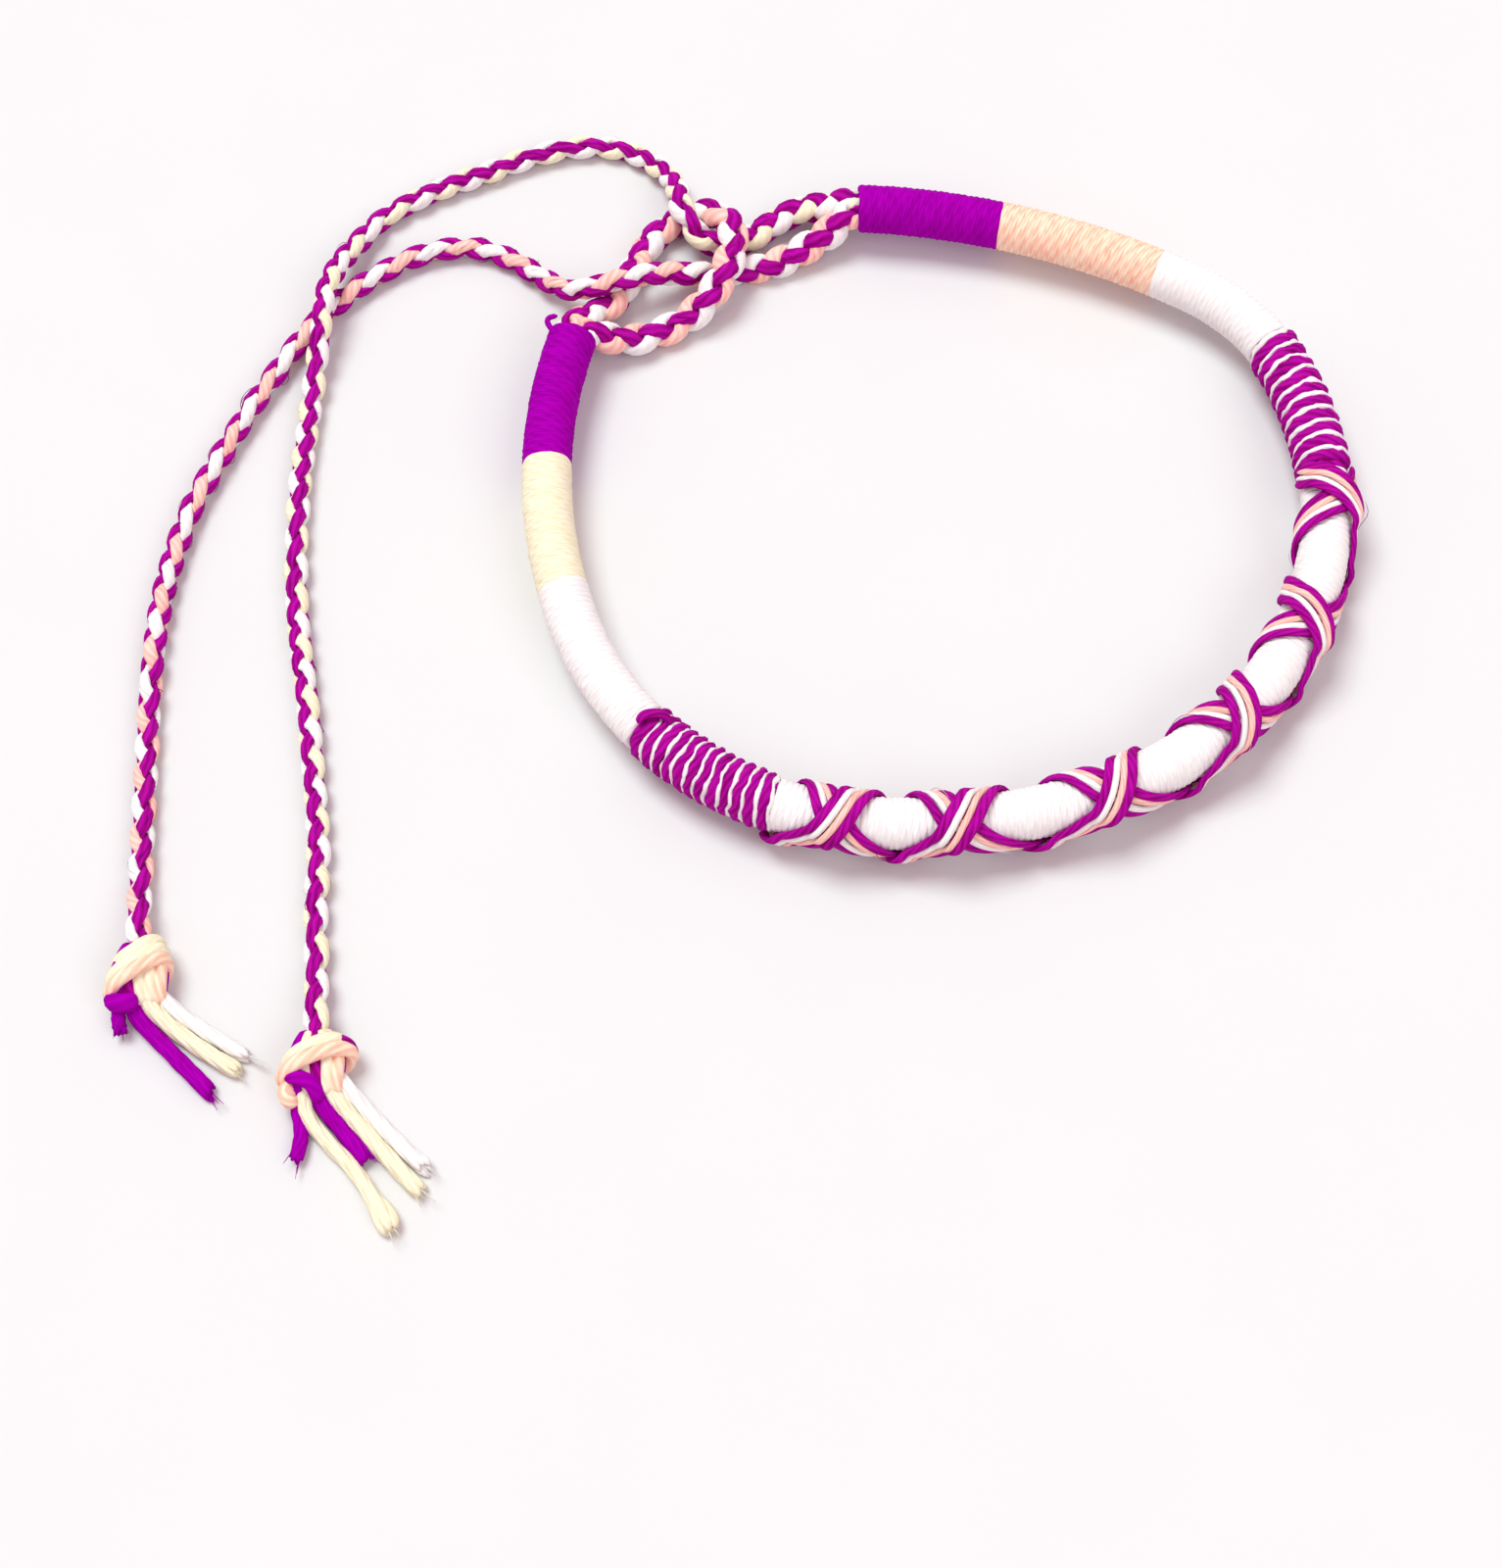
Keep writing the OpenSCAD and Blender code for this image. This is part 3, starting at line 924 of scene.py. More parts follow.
@dataclass(frozen=True)
class LooseThread:
    """A thread end that lies loose on the band.

    Attributes:
        rows: Way from the winding's start, radius and angle of each point on it.
    """

    rows: tuple[Row, ...]
    half_width: float
    flat: float = 0.85
    step: float = 0.15

    def make(self, s_from: float, tone: Tone, bench: Bench) -> Piece:
        """Sweeps it.

        Args:
            s_from: Way along the band where the winding starts.
            tone: Its colour.
            bench: Route and materials.

        Returns:
            The thread, at the origin.
        """
        s, r, angle = spline(np.array(self.rows) + np.array([s_from, 0, 0]), THREAD_STEPS).T
        path = even_steps(bench.route.place(s, r, angle), self.step)
        outward = path - bench.route.place(s.mean(), 0, 0)
        spool = Spool(bench.materials, sides=8)
        spool.lay(Strand(path, outward, self.half_width, self.half_width * self.flat, tone))
        return spool.make("loose_thread")


@dataclass
class ColourBlock:
    """A stretch of the band wound in one colour.

    Attributes:
        loose: Thread end that stands off, if there is one.
        pitch: Way along the band that each turn takes.
        cover: Half the thread's breadth as a share of the pitch.
        proud: How far its crests stand over the band's radius.
    """

    node: str
    tone: Tone
    loose: LooseThread | None = None
    pitch: float = 0.56
    cover: float = 0.8
    proud: float = 0.04
    half_height: float = 0.28
    waver: float = 0.1
    ruffle: float = 0.08
    steps_a_turn: int = 32

    def build(self, bench: Bench) -> list[Piece]:
        """Winds the block.

        Args:
            bench: Route, guide curve and materials.

        Returns:
            The finished piece.
        """
        s_from, s_to = bench.route.spans[self.node]
        thread = WoundThread(
            s_from, s_to, round((s_to - s_from) / self.pitch), bench.route.band_r + self.proud,
            self.pitch * self.cover, self.half_height, self.tone,
            waver=self.waver, ruffle=self.ruffle, steps_a_turn=self.steps_a_turn,
        )
        piece = thread.make(self.node, bench)
        if self.loose:
            piece = join([piece, self.loose.make(s_from, self.tone, bench)], self.node)
        return [hand_in(piece, self.node, self.tone)]


@dataclass
class Whipping:
    """A close whipping of a stout violet thread and a slim white one, laid side by side on a bed.

    Attributes:
        tuck: The thread's tucked-in end, if it shows.
        inset: Way from its ends to the stout thread's, as a share of a turn.
        slim_from: Way from its start to the slim thread's, as a share of a turn.
        slim_past: How far the slim thread's end is past its own, as a share of a turn.
        crests: How far each thread's crest stands over half its thickness, stout, slim and bed.
        covers: Half the breadth of each thread, as a share of a turn.
        half_heights: Half the thickness of each thread.
    """

    node: str
    turns: int
    tuck: LooseThread | None = None
    whip_d: float = 5.0
    inset: float = 0.3
    slim_from: float = 0.86
    slim_past: float = 0.2
    crests: tuple[float, float, float] = (0.1, -0.06, -0.3)
    covers: tuple[float, float, float] = (0.41, 0.24, 0.7)
    half_heights: tuple[float, float, float] = (0.45, 0.36, 0.3)

    def build(self, bench: Bench) -> list[Piece]:
        """Winds both threads and the bed under them.

        Args:
            bench: Route, guide curve and materials.

        Returns:
            The finished piece.
        """
        s_from, s_to = bench.route.spans[self.node]
        pitch = (s_to - s_from) / self.turns
        inset, less = pitch * self.inset, self.turns - 1
        tops = [self.whip_d / 2 + crest for crest in self.crests]
        halves = list(zip((pitch * cover for cover in self.covers), self.half_heights))
        threads = (
            WoundThread(
                s_from + inset, s_to - inset, less, tops[0], *halves[0], Tone.VIOLET,
                waver=0.3, ruffle=0.16, sides=10, steps_a_turn=48,
            ),
            WoundThread(
                s_from + pitch * self.slim_from, s_to + pitch * self.slim_past, less, tops[1],
                *halves[1], Tone.WHITE, waver=0.34, ruffle=0.14, steps_a_turn=48,
            ),
            WoundThread(
                s_from, s_to, self.turns, tops[2], *halves[2], Tone.VIOLET,
                sides=6, steps_a_turn=24,
            ),
        )
        parts = [thread.make(f"{self.node}_{i}", bench) for i, thread in enumerate(threads)]
        if self.tuck:
            parts.append(self.tuck.make(s_from, Tone.VIOLET, bench))
        return [hand_in(join(parts, self.node), self.node, Tone.VIOLET)]


@dataclass
class CoreBundle:
    """The bundle that the band is wound on, of which only the two ends show.

    Attributes:
        core_d: Its thickness, which is that of three threads.
        outer: Threads round its middle one.
        twist: Degrees that they turn for each millimetre.
    """

    node: str = "core_bundle"
    core_d: float = 2.8
    outer: int = 6
    twist: float = 1.2
    points: int = 180

    def build(self, bench: Bench) -> list[Piece]:
        """Lays the threads through the band.

        Args:
            bench: Route and materials.

        Returns:
            The finished piece.
        """
        spool = Spool(bench.materials, sides=6)
        ways = np.linspace(0, bench.route.length, self.points)
        half = self.core_d / 6
        for k in range(self.outer + 1):
            r = self.core_d / 3 if k else 0.0
            angle = 360 / self.outer * k + self.twist * ways
            path = bench.route.place(ways, r, angle)
            outward = bench.route.place(ways, r + 1, angle) - path
            spool.lay(Strand(path, outward, half, half, Tone.CREAM))
        return [hand_in(spool.make(self.node), self.node, Tone.CREAM)]


@dataclass
class CrossedBand:
    """Four threads side by side, screwed round the front over or under the other such band.

    Attributes:
        way: Which way round it climbs.
        lifted: Whether it is the band that passes over.
        cross_angle: Angle round the band at which the two cross on top.
        skew: How far the crossings underneath are turned from the opposite side, in degrees.
        crossings: Places of the crossings on top, as shares of the front.
        threads: Place across as a share of the width, half breadth and tone of each thread.
        full: Half a thread's thickness as a share of the band's.
        sink: How much lower it lies than its solid, which keeps a gap to the winding.
        lift: How far it rises over the other band.
        lift_turns: Turns before and after a crossing where it starts to rise.
        rise_turns: Turns that it takes to rise.
        tuck: How far it runs into the whippings.
    """

    WAVER_SIZE, RUFFLE_SIZE, PHASE = 0.35, 0.2, 17
    FUZZ_SEED, FUZZ = 9, 10
    TURN_SAMPLES = 2001

    node: str
    way: Way
    lifted: bool
    seed: int
    width: float = 2.7
    thick: float = 0.5
    cross_angle: float = 60.0
    skew: float = 50.0
    crossings: tuple[float, ...] = (0.075, 0.22, 0.41, 0.60, 0.765, 0.955)
    threads: tuple[tuple[float, float, Tone], ...] = (
        (-0.35, 0.45, Tone.VIOLET), (-0.11, 0.3, Tone.WHITE),
        (0.11, 0.3, Tone.ROSE), (0.35, 0.45, Tone.VIOLET),
    )
    full: float = 0.55
    sink: float = 0.2
    lift: float = 0.52
    lift_turns: float = 0.17
    rise_turns: float = 0.07
    tuck: float = 0.2
    waver: float = 0.1
    ruffle: float = 0.12
    step_turn: float = 1 / 48

    def _way_at(self, turn: np.ndarray, route: BandRoute) -> np.ndarray:
        """Finds the way along the band at turns counted from the first crossing.

        Args:
            turn: The turns.
            route: The band's route.

        Returns:
            The ways.
        """
        ways = route.front_from + (route.front_to - route.front_from) * np.array(self.crossings)
        i = np.clip(np.floor(turn).astype(int), 0, len(ways) - 2)
        return ways[i] + (turn - i) * (ways[i + 1] - ways[i])

    def _turn_at(self, s: float, route: BandRoute) -> float:
        """Returns the turn at a way along the band."""
        turns = np.linspace(-1, len(self.crossings), self.TURN_SAMPLES)
        return float(np.interp(s, self._way_at(turns, route), turns))

    def _risen(self, turn: np.ndarray) -> np.ndarray:
        """Returns the share of its full lift that the upper band has."""
        off = np.abs(turn - np.round(2 * turn) / 2)
        return eased(np.clip((self.lift_turns - off) / self.rise_turns, 0, 1))

    def build(self, bench: Bench) -> list[Piece]:
        """Lays the threads.

        Args:
            bench: Route and materials.

        Returns:
            The finished piece.
        """
        route = bench.route
        spool = Spool(bench.materials, floor=0.02)
        rng = np.random.default_rng(self.seed)
        a_turn = (route.front_to - route.front_from) / len(self.crossings)
        slant = math.atan2(2 * math.pi * route.band_r, a_turn)
        first, last = route.front_from - self.tuck, route.front_to + self.tuck
        turn = np.arange(self._turn_at(first, route), self._turn_at(last, route), self.step_turn)
        half_high = self.thick * self.full
        lift = self._risen(turn) * self.lift if self.lifted else 0 * turn
        middle_r = route.cross_low_r - self.sink + lift + half_high
        for share, breadth, tone in self.threads:
            side = share * self.width + smooth_noise(rng, turn, self.WAVER_SIZE) * self.waver
            s = self._way_at(turn, route) + side * math.sin(slant)
            s = np.clip(s, first - self.tuck, last + self.tuck)
            across = np.degrees(side * math.cos(slant) / route.band_r)
            swing = self.skew / 2 * (1 - np.cos(2 * math.pi * turn))
            angle = self.cross_angle + self.way.value * (360 * turn - across) + swing
            path = route.place(s, middle_r, angle)
            outward = route.place(s, middle_r + 1, angle) - path
            half_wide = breadth * (1 + self.ruffle * smooth_noise(rng, turn, self.RUFFLE_SIZE))
            spool.lay(Strand(path, outward, half_wide, half_high, tone, self.PHASE * share))
        spool.fuzz(self.FUZZ_SEED, self.FUZZ)
        return [hand_in(spool.make(self.node), self.node, Tone.VIOLET)]


# Eye, ties, knots and tassels


@dataclass
class Braid:
    """Four threads braided round: two violet ones turn one way, two pale ones the other.

    Attributes:
        centre: Its middle line in millimetres, evenly stepped.
        lean: Angle at which the violet side starts, in degrees.
        drawn_end: Length over which it draws together at its end.
        full: How many times thicker it is at its start, where it is braided loosely.
        full_len: Length after which it has its plain thickness.
        pale_share: How many times stouter its pale threads are than the mean of both.
        drawn_start: Length over which it draws together at its start.
        drawn_r: Share of its thickness that it keeps where it is drawn together.
        pitch: Length of a turn.
        ring_r: Mean distance of a thread from the middle line.
        swing: How far a thread swings in and out as it passes under and over.
        dwell: How much longer a thread stays on its own side.
        pitch_drift: Share by which the pitch varies.
        lean_drift: Degrees by which the lean varies.
        plump: Share by which a thread's thickness varies.
    """

    DRIFT_SIZES = (6.0, 22.0, 1.6)
    STEP, PHASES = 0.35, (0, 30)

    centre: np.ndarray
    lean: float
    pale: tuple[Tone, Tone]
    seed: int
    drawn_end: float
    full: float
    full_len: float
    pale_share: float = 1.04
    drawn_start: float = 2.0
    drawn_r: float = 0.85
    pitch: float = 5.8
    ring_r: float = 0.47
    swing: float = 0.25
    half_wide: float = 0.57
    half_high: float = 0.38
    dwell: float = 0.7
    pitch_drift: float = 0.18
    lean_drift: float = 70.0
    plump: float = 0.1

    def _drawn(self, reach: np.ndarray) -> np.ndarray:
        """Works out how thick the braid is along its line.

        Args:
            reach: Way from its start to each point.

        Returns:
            Its thickness at each point, as a share of the plain one.
        """
        drawn = np.ones(len(reach))
        for way, length in ((reach, self.drawn_start), (reach[-1] - reach, self.drawn_end)):
            open_share = np.clip(way / length, 0, 1)
            drawn = np.minimum(drawn, self.drawn_r + (1 - self.drawn_r) * open_share)
        loosening = eased(np.clip(reach / self.full_len, 0, 1))
        return drawn * (self.full + (1 - self.full) * loosening)

    def lay(self, spool: Spool) -> None:
        """Lays the four threads.

        Args:
            spool: Spool that gets them.
        """
        rng = np.random.default_rng(self.seed)
        pitch_size, lean_size, plump_size = self.DRIFT_SIZES
        across, up = level_frame(self.centre)
        reach = way_along(self.centre)
        drawn = self._drawn(reach)
        speed = np.gradient(reach) * (1 + self.pitch_drift * smooth_noise(rng, reach, pitch_size))
        turned = np.cumsum(speed) / self.pitch * 360
        lean = self.lean + self.lean_drift * smooth_noise(rng, reach, lean_size)
        first, second = self.pale
        for way, start, outer, tone, stout in (
            (1, 45, 45, Tone.VIOLET, 2 - self.pale_share),
            (1, 225, 45, Tone.VIOLET, 2 - self.pale_share),
            (-1, 45, 135, first, self.pale_share),
            (-1, 225, 135, second, self.pale_share),
        ):
            raw = way * turned + start
            angle = raw - math.degrees(self.dwell / 2) * np.sin(2 * np.radians(raw - outer))
            r = (self.ring_r + self.swing * np.cos(2 * np.radians(angle - outer))) * drawn
            outward = fan(across, up, np.radians(angle + lean))
            size = drawn * ((1 + self.plump * smooth_noise(rng, reach, plump_size)) * stout)
            path = self.centre + r[:, None] * outward
            halves = self.half_wide * size, self.half_high * size
            spool.lay(Strand(path, outward, *halves, tone, float(rng.uniform(*self.PHASES))))


@dataclass(frozen=True)
class Rooting:
    """How two braids leave one end of the band, side by side.

    Attributes:
        inside: How far they reach back into the band.
        lead: How far they run straight out of it.
        pinch: How far each is off the band's middle line.
    """

    inside: float = 0.6
    lead: float = 0.8
    pinch: float = 0.675

    def points(self, at: np.ndarray, way: np.ndarray, side: int) -> list[np.ndarray]:
        """Returns a braid's points in and out of an end, side being 1 on the right and -1 left."""
        start = at + side * self.pinch * to_right(way)
        return [start - self.inside * way, start + self.lead * way]


@dataclass
class EyeLoop:
    """Loop of braid at the band's left end, through which both ties pass.

    Attributes:
        tie_d: Thickness that its heights are shares of.
        rooting: How it leaves the band.
        rows: Its points as shares of its length, breadth and thickness, as in the part's source.
    """

    FUZZ_SEED, FUZZ = 5, 16

    node: str = "eye_loop"
    reach: float = 18.5
    breadth: float = 11.5
    tie_d: float = 2.2
    rooting: Rooting = Rooting()
    rows: tuple[Row, ...] = (
        (0.18, 0.00, 1.15), (0.36, 0.16, 0.66), (0.62, 0.22, 0.53), (0.83, 0.29, 0.53),
        (0.97, 0.45, 0.58), (1.00, 0.68, 1.20), (0.91, 0.91, 1.68), (0.72, 1.00, 1.70),
        (0.52, 0.96, 1.42), (0.38, 0.82, 0.76), (0.25, 0.62, 0.60), (0.13, 0.38, 0.90),
    )
    pale: tuple[Tone, Tone] = (Tone.WHITE, Tone.ROSE)

    def build(self, bench: Bench) -> list[Piece]:
        """Braids the loop.

        Args:
            bench: Route and materials.

        Returns:
            The finished piece.
        """
        root = bench.route.place(0, 0, 0)
        way = -bench.route.heading_at(0)
        across = to_right(way)
        points = self.rooting.points(root, way, -1)
        for along, side, high in self.rows:
            spot = root + way * along * self.reach + across * side * self.breadth
            points.append(np.array([spot[0], spot[1], high * self.tie_d]))
        points += self.rooting.points(root, way, 1)[::-1]
        centre = even_steps(spline(np.array(points), ROUTE_STEPS), Braid.STEP)
        spool = Spool(bench.materials, floor=0.02)
        braid = Braid(
            centre, lean=20, pale=self.pale, seed=3, drawn_end=2.0, full=1.38, full_len=1000,
            pale_share=1.13,
        )
        braid.lay(spool)
        spool.fuzz(self.FUZZ_SEED, self.FUZZ)
        return [hand_in(spool.make(self.node), self.node, Tone.CREAM)]


@dataclass
class Spot:
    """Middle of a knot's start and its heading, from which the knot and its tassel are laid out.

    Attributes:
        at: The point.
        forward: The level heading.
    """

    at: np.ndarray
    forward: np.ndarray

    def turned(self, rows: np.ndarray) -> np.ndarray:
        """Returns directions given forward, to the left-hand side seen from above, and up."""
        to_left = -to_right(self.forward)
        return rows[:, :1] * self.forward + rows[:, 1:2] * to_left + rows[:, 2:] * UP


@dataclass(frozen=True)
class Wrap:
    """One thread that wraps round a knot.

    Attributes:
        rows: Points forward of the knot's start, to its left-hand side seen from above, and up.
    """

    rows: tuple[Row, ...]
    tone: Tone
    half_width: float


@dataclass
class Knot:
    """The overhand knot at a tie's end.

    Attributes:
        through: Tones of the threads that run through it, from right to left.
        wraps: Threads that wrap round them.
        fan_rows: Points of a through-thread: forward, spread to the side, rise with the
            bundle's roundness, and plain rise.
        fan_round: How round the bundle is across.
        fan_halves: Half the breadth and half the thickness of a through-thread.
    """

    through: tuple[Tone, ...]
    wraps: tuple[Wrap, ...]
    fan_rows: tuple[tuple[float, float, float, float], ...] = (
        (-0.5, 0.6, 0.35, 0.0), (0.7, 1.3, 0.6, 0.0), (2.2, 1.75, 0.75, 0.0),
        (3.6, 1.6, 0.45, -0.2), (4.9, 1.35, 0.25, -0.9),
    )
    fan_round: float = 0.6
    fan_halves: tuple[float, float] = (0.62, 0.52)
    flat: float = 0.8
    step: float = 0.25

    def build(self, node: str, spot: Spot, bench: Bench) -> Piece:
        """Ties the knot.

        Args:
            node: CAD node that it stands for.
            spot: Where it is.
            bench: Materials.

        Returns:
            The finished piece.
        """
        spool = Spool(bench.materials, floor=0.03)
        middle = (len(self.through) - 1) / 2
        for layer in (1, -1):
            for k, tone in enumerate(self.through[::layer]):
                side = (k - middle) / middle
                bulge = layer * math.sqrt(1 - self.fan_round * side * side)
                rows = np.array([
                    (ahead, spread * side, rise * bulge + plain)
                    for ahead, spread, rise, plain in self.fan_rows
                ])
                path = spot.at + spot.turned(even_steps(spline(rows, THREAD_STEPS), self.step))
                outward = np.broadcast_to(UP * layer, path.shape)
                spool.lay(Strand(path, outward, *self.fan_halves, tone, float(k)))
        for wrap in self.wraps:
            rows = even_steps(spline(np.array(wrap.rows), THREAD_STEPS), self.step)
            centre = rows.mean(axis=0) * LEVEL
            halves = wrap.half_width, wrap.half_width * self.flat
            path, outward = spot.at + spot.turned(rows), spot.turned(rows - centre)
            spool.lay(Strand(path, outward, *halves, wrap.tone))
        return hand_in(spool.make(node), node, Tone.CREAM)


@dataclass(frozen=True)
class Lock:
    """One cut thread end of a tassel.

    Attributes:
        rows: Points forward of the knot's start and to its left-hand side, seen from above.
        plump: How much thicker its last stretch is.
    """

    rows: tuple[tuple[float, float], ...]
    tone: Tone
    thick: float
    plump: float = 0.0


@dataclass
class Tassel:
    """The cut thread ends past a knot, each of several soft plies that part at the cut.

    Attributes:
        rest_z: Height of a lock's middle where it lies on the surface.
        fall: Length over which a lock comes down to it.
        drop: Share of the height that it has lost where it leaves the knot's middle.
        plies: Plies of each lock round a middle one.
        ply: Half a ply's breadth, and its distance from the lock's middle, over the thickness.
        core: Half the breadth and half the thickness of the middle ply, over the thickness.
        twist: Degrees that the plies turn from end to end.
        part_from: Share of the length after which the plies part.
        plump_at: Share of the length where a plump lock is plumpest.
        plump_size: Share of the length over which it swells.
    """

    TWIST_DRIFT, TWIST_SIZE, PHASES = 15, 0.25, (0, 20)
    PARTING, KEPT, KEPT_POINTS = (0.0, 0.7), (0.94, 1.0), 8
    WISP_POINTS, WISP_GROWTH, WISP_HALF_WIDTH = 9, 1.5, 0.05
    WISP_ASIDE, WISP_UP, WISP_AHEAD = (-0.9, 0.9), (0.15, 0.8), (0.5, 4.0)

    locks: tuple[Lock, ...]
    seed: int
    rest_z: float = 0.7
    fall: float = 4.5
    drop: float = 0.35
    plies: int = 6
    ply: float = 0.27
    flat: float = 0.85
    core: tuple[float, float] = (0.22, 0.2)
    twist: float = 300.0
    part_from: float = 0.85
    plump_at: float = 0.88
    plump_size: float = 0.1
    wisps: int = 3
    step: float = 0.35

    def build(self, node: str, spot: Spot, bench: Bench) -> Piece:
        """Lays out the locks.

        Args:
            node: CAD node that it stands for.
            spot: Where the knot is.
            bench: Materials.

        Returns:
            The finished piece.
        """
        spool = Spool(bench.materials, sides=8, floor=0.03)
        rng = np.random.default_rng(self.seed)
        for lock in self.locks:
            rows = spline(np.array([(*row, 0.0) for row in lock.rows]), THREAD_STEPS)
            down = eased(np.clip(way_along(rows) / self.fall, 0, 1))
            rows[:, 2] = (self.rest_z - spot.at[2]) * (self.drop + (1 - self.drop) * down)
            self._lay_lock(spool, even_steps(spot.at + spot.turned(rows), self.step), lock, rng)
        return hand_in(spool.make(node), node, Tone.VIOLET)

    def _lay_lock(
        self, spool: Spool, centre: np.ndarray, lock: Lock, rng: np.random.Generator
    ) -> None:
        """Lays the plies of a lock and the fibres at its cut end.

        Args:
            spool: Spool that gets them.
            centre: The lock's middle line.
            lock: The lock.
            rng: Source of the seeded numbers.
        """
        across, up = level_frame(centre)
        share = way_along(centre) / way_along(centre)[-1]
        swell = 1 + lock.plump * np.exp(-(((share - self.plump_at) / self.plump_size) ** 2))
        core = (lock.thick * half for half in self.core)
        spool.lay(Strand(centre[:-1], up[:-1], *core, lock.tone))
        parted = np.clip((share - self.part_from) / (1 - self.part_from), 0, 1)
        for ply in range(self.plies):
            splay = 1 + parted * rng.uniform(*self.PARTING)
            drift = self.TWIST_DRIFT * smooth_noise(rng, share, self.TWIST_SIZE)
            turn = np.radians(360 * ply / self.plies + self.twist * share + drift)
            outward = fan(across, up, turn)
            path = centre + (lock.thick * self.ply * splay * swell)[:, None] * outward
            keep = max(self.KEPT_POINTS, round(len(centre) * rng.uniform(*self.KEPT)))
            half = lock.thick * self.ply * swell[:keep]
            phase = float(rng.uniform(*self.PHASES))
            spool.lay(Strand(path[:keep], outward[:keep], half, half * self.flat, lock.tone, phase))
        for _ in range(self.wisps):
            stretch = centre[-self.WISP_POINTS:]
            grow = np.linspace(0, 1, len(stretch))[:, None] ** self.WISP_GROWTH
            push = rng.uniform(*self.WISP_ASIDE) * across[-1] + rng.uniform(*self.WISP_UP) * UP
            push = push + (centre[-1] - centre[-2]) * rng.uniform(*self.WISP_AHEAD)
            outward = np.broadcast_to(UP, stretch.shape)
            half = self.WISP_HALF_WIDTH
            spool.lay(Strand(stretch + grow * push, outward, half, half, lock.tone))


@dataclass
class Tie:
    """A braided tie with its knot and tassel, laid from the band's right end through the eye.

    Attributes:
        letter: Last letter of its CAD nodes.
        side: Side of the band's end where it starts, 1 on the right as the band runs.
        rows: Its route's points in millimetres, as in the part's source. A point without a height
            is where it lies on the surface.
        low_z: Height of its middle where it lies on the surface.
        fuzz: Fine fibres that stand off it.
    """

    letter: str
    side: int
    rows: tuple[tuple[float, ...], ...]
    knot: Knot
    tassel: Tassel
    lean: float
    pale: tuple[Tone, Tone]
    seed: int
    diameter: float = 2.2
    low_z: float = 1.15
    gap: float = 0.05
    knot_d: float = 4.5
    rooting: Rooting = Rooting()
    fuzz: int = 70

    def build(self, bench: Bench) -> list[Piece]:
        """Args:
            bench: Route and materials.

        Returns:
            The finished pieces.
        """
        length = bench.route.length
        end, way = bench.route.place(length, 0, 0), bench.route.heading_at(length)
        points = np.array([(*row, self.low_z)[:3] for row in self.rows])
        roots = self.rooting.points(end + self.gap * way, way, self.side)
        centre = even_steps(spline(np.array([*roots, *points]), ROUTE_STEPS), Braid.STEP)
        spool = Spool(bench.materials, floor=0.02)
        braid = Braid(
            centre, self.lean, self.pale, self.seed, drawn_end=0.8, full=1.45, full_len=32
        )
        braid.lay(spool)
        spool.fuzz(self.seed, self.fuzz)
        tie = hand_in(spool.make(f"tie_{self.letter}"), f"tie_{self.letter}", Tone.CREAM)
        forward = unit((points[-1] - points[-2]) * LEVEL)
        knot_z = self.knot_d / 2 + self.gap
        at = np.array([*points[-1][:2], knot_z]) + self.gap * forward
        spot = Spot(at, forward)
        knot = self.knot.build(f"knot_{self.letter}", spot, bench)
        tassel = self.tassel.build(f"tassel_{self.letter}", spot, bench)
        way_along(centre)[-1] * MM
        return [tie, knot, tassel]


# Light, floor and camera


@dataclass(frozen=True)
class Sun:
    """A broad soft sun.

    Attributes:
        at: Direction that it shines from.
        spread: Its breadth in degrees.
    """

    name: str
    at: Row
    spread: float
    strength: float
    colour: Colour


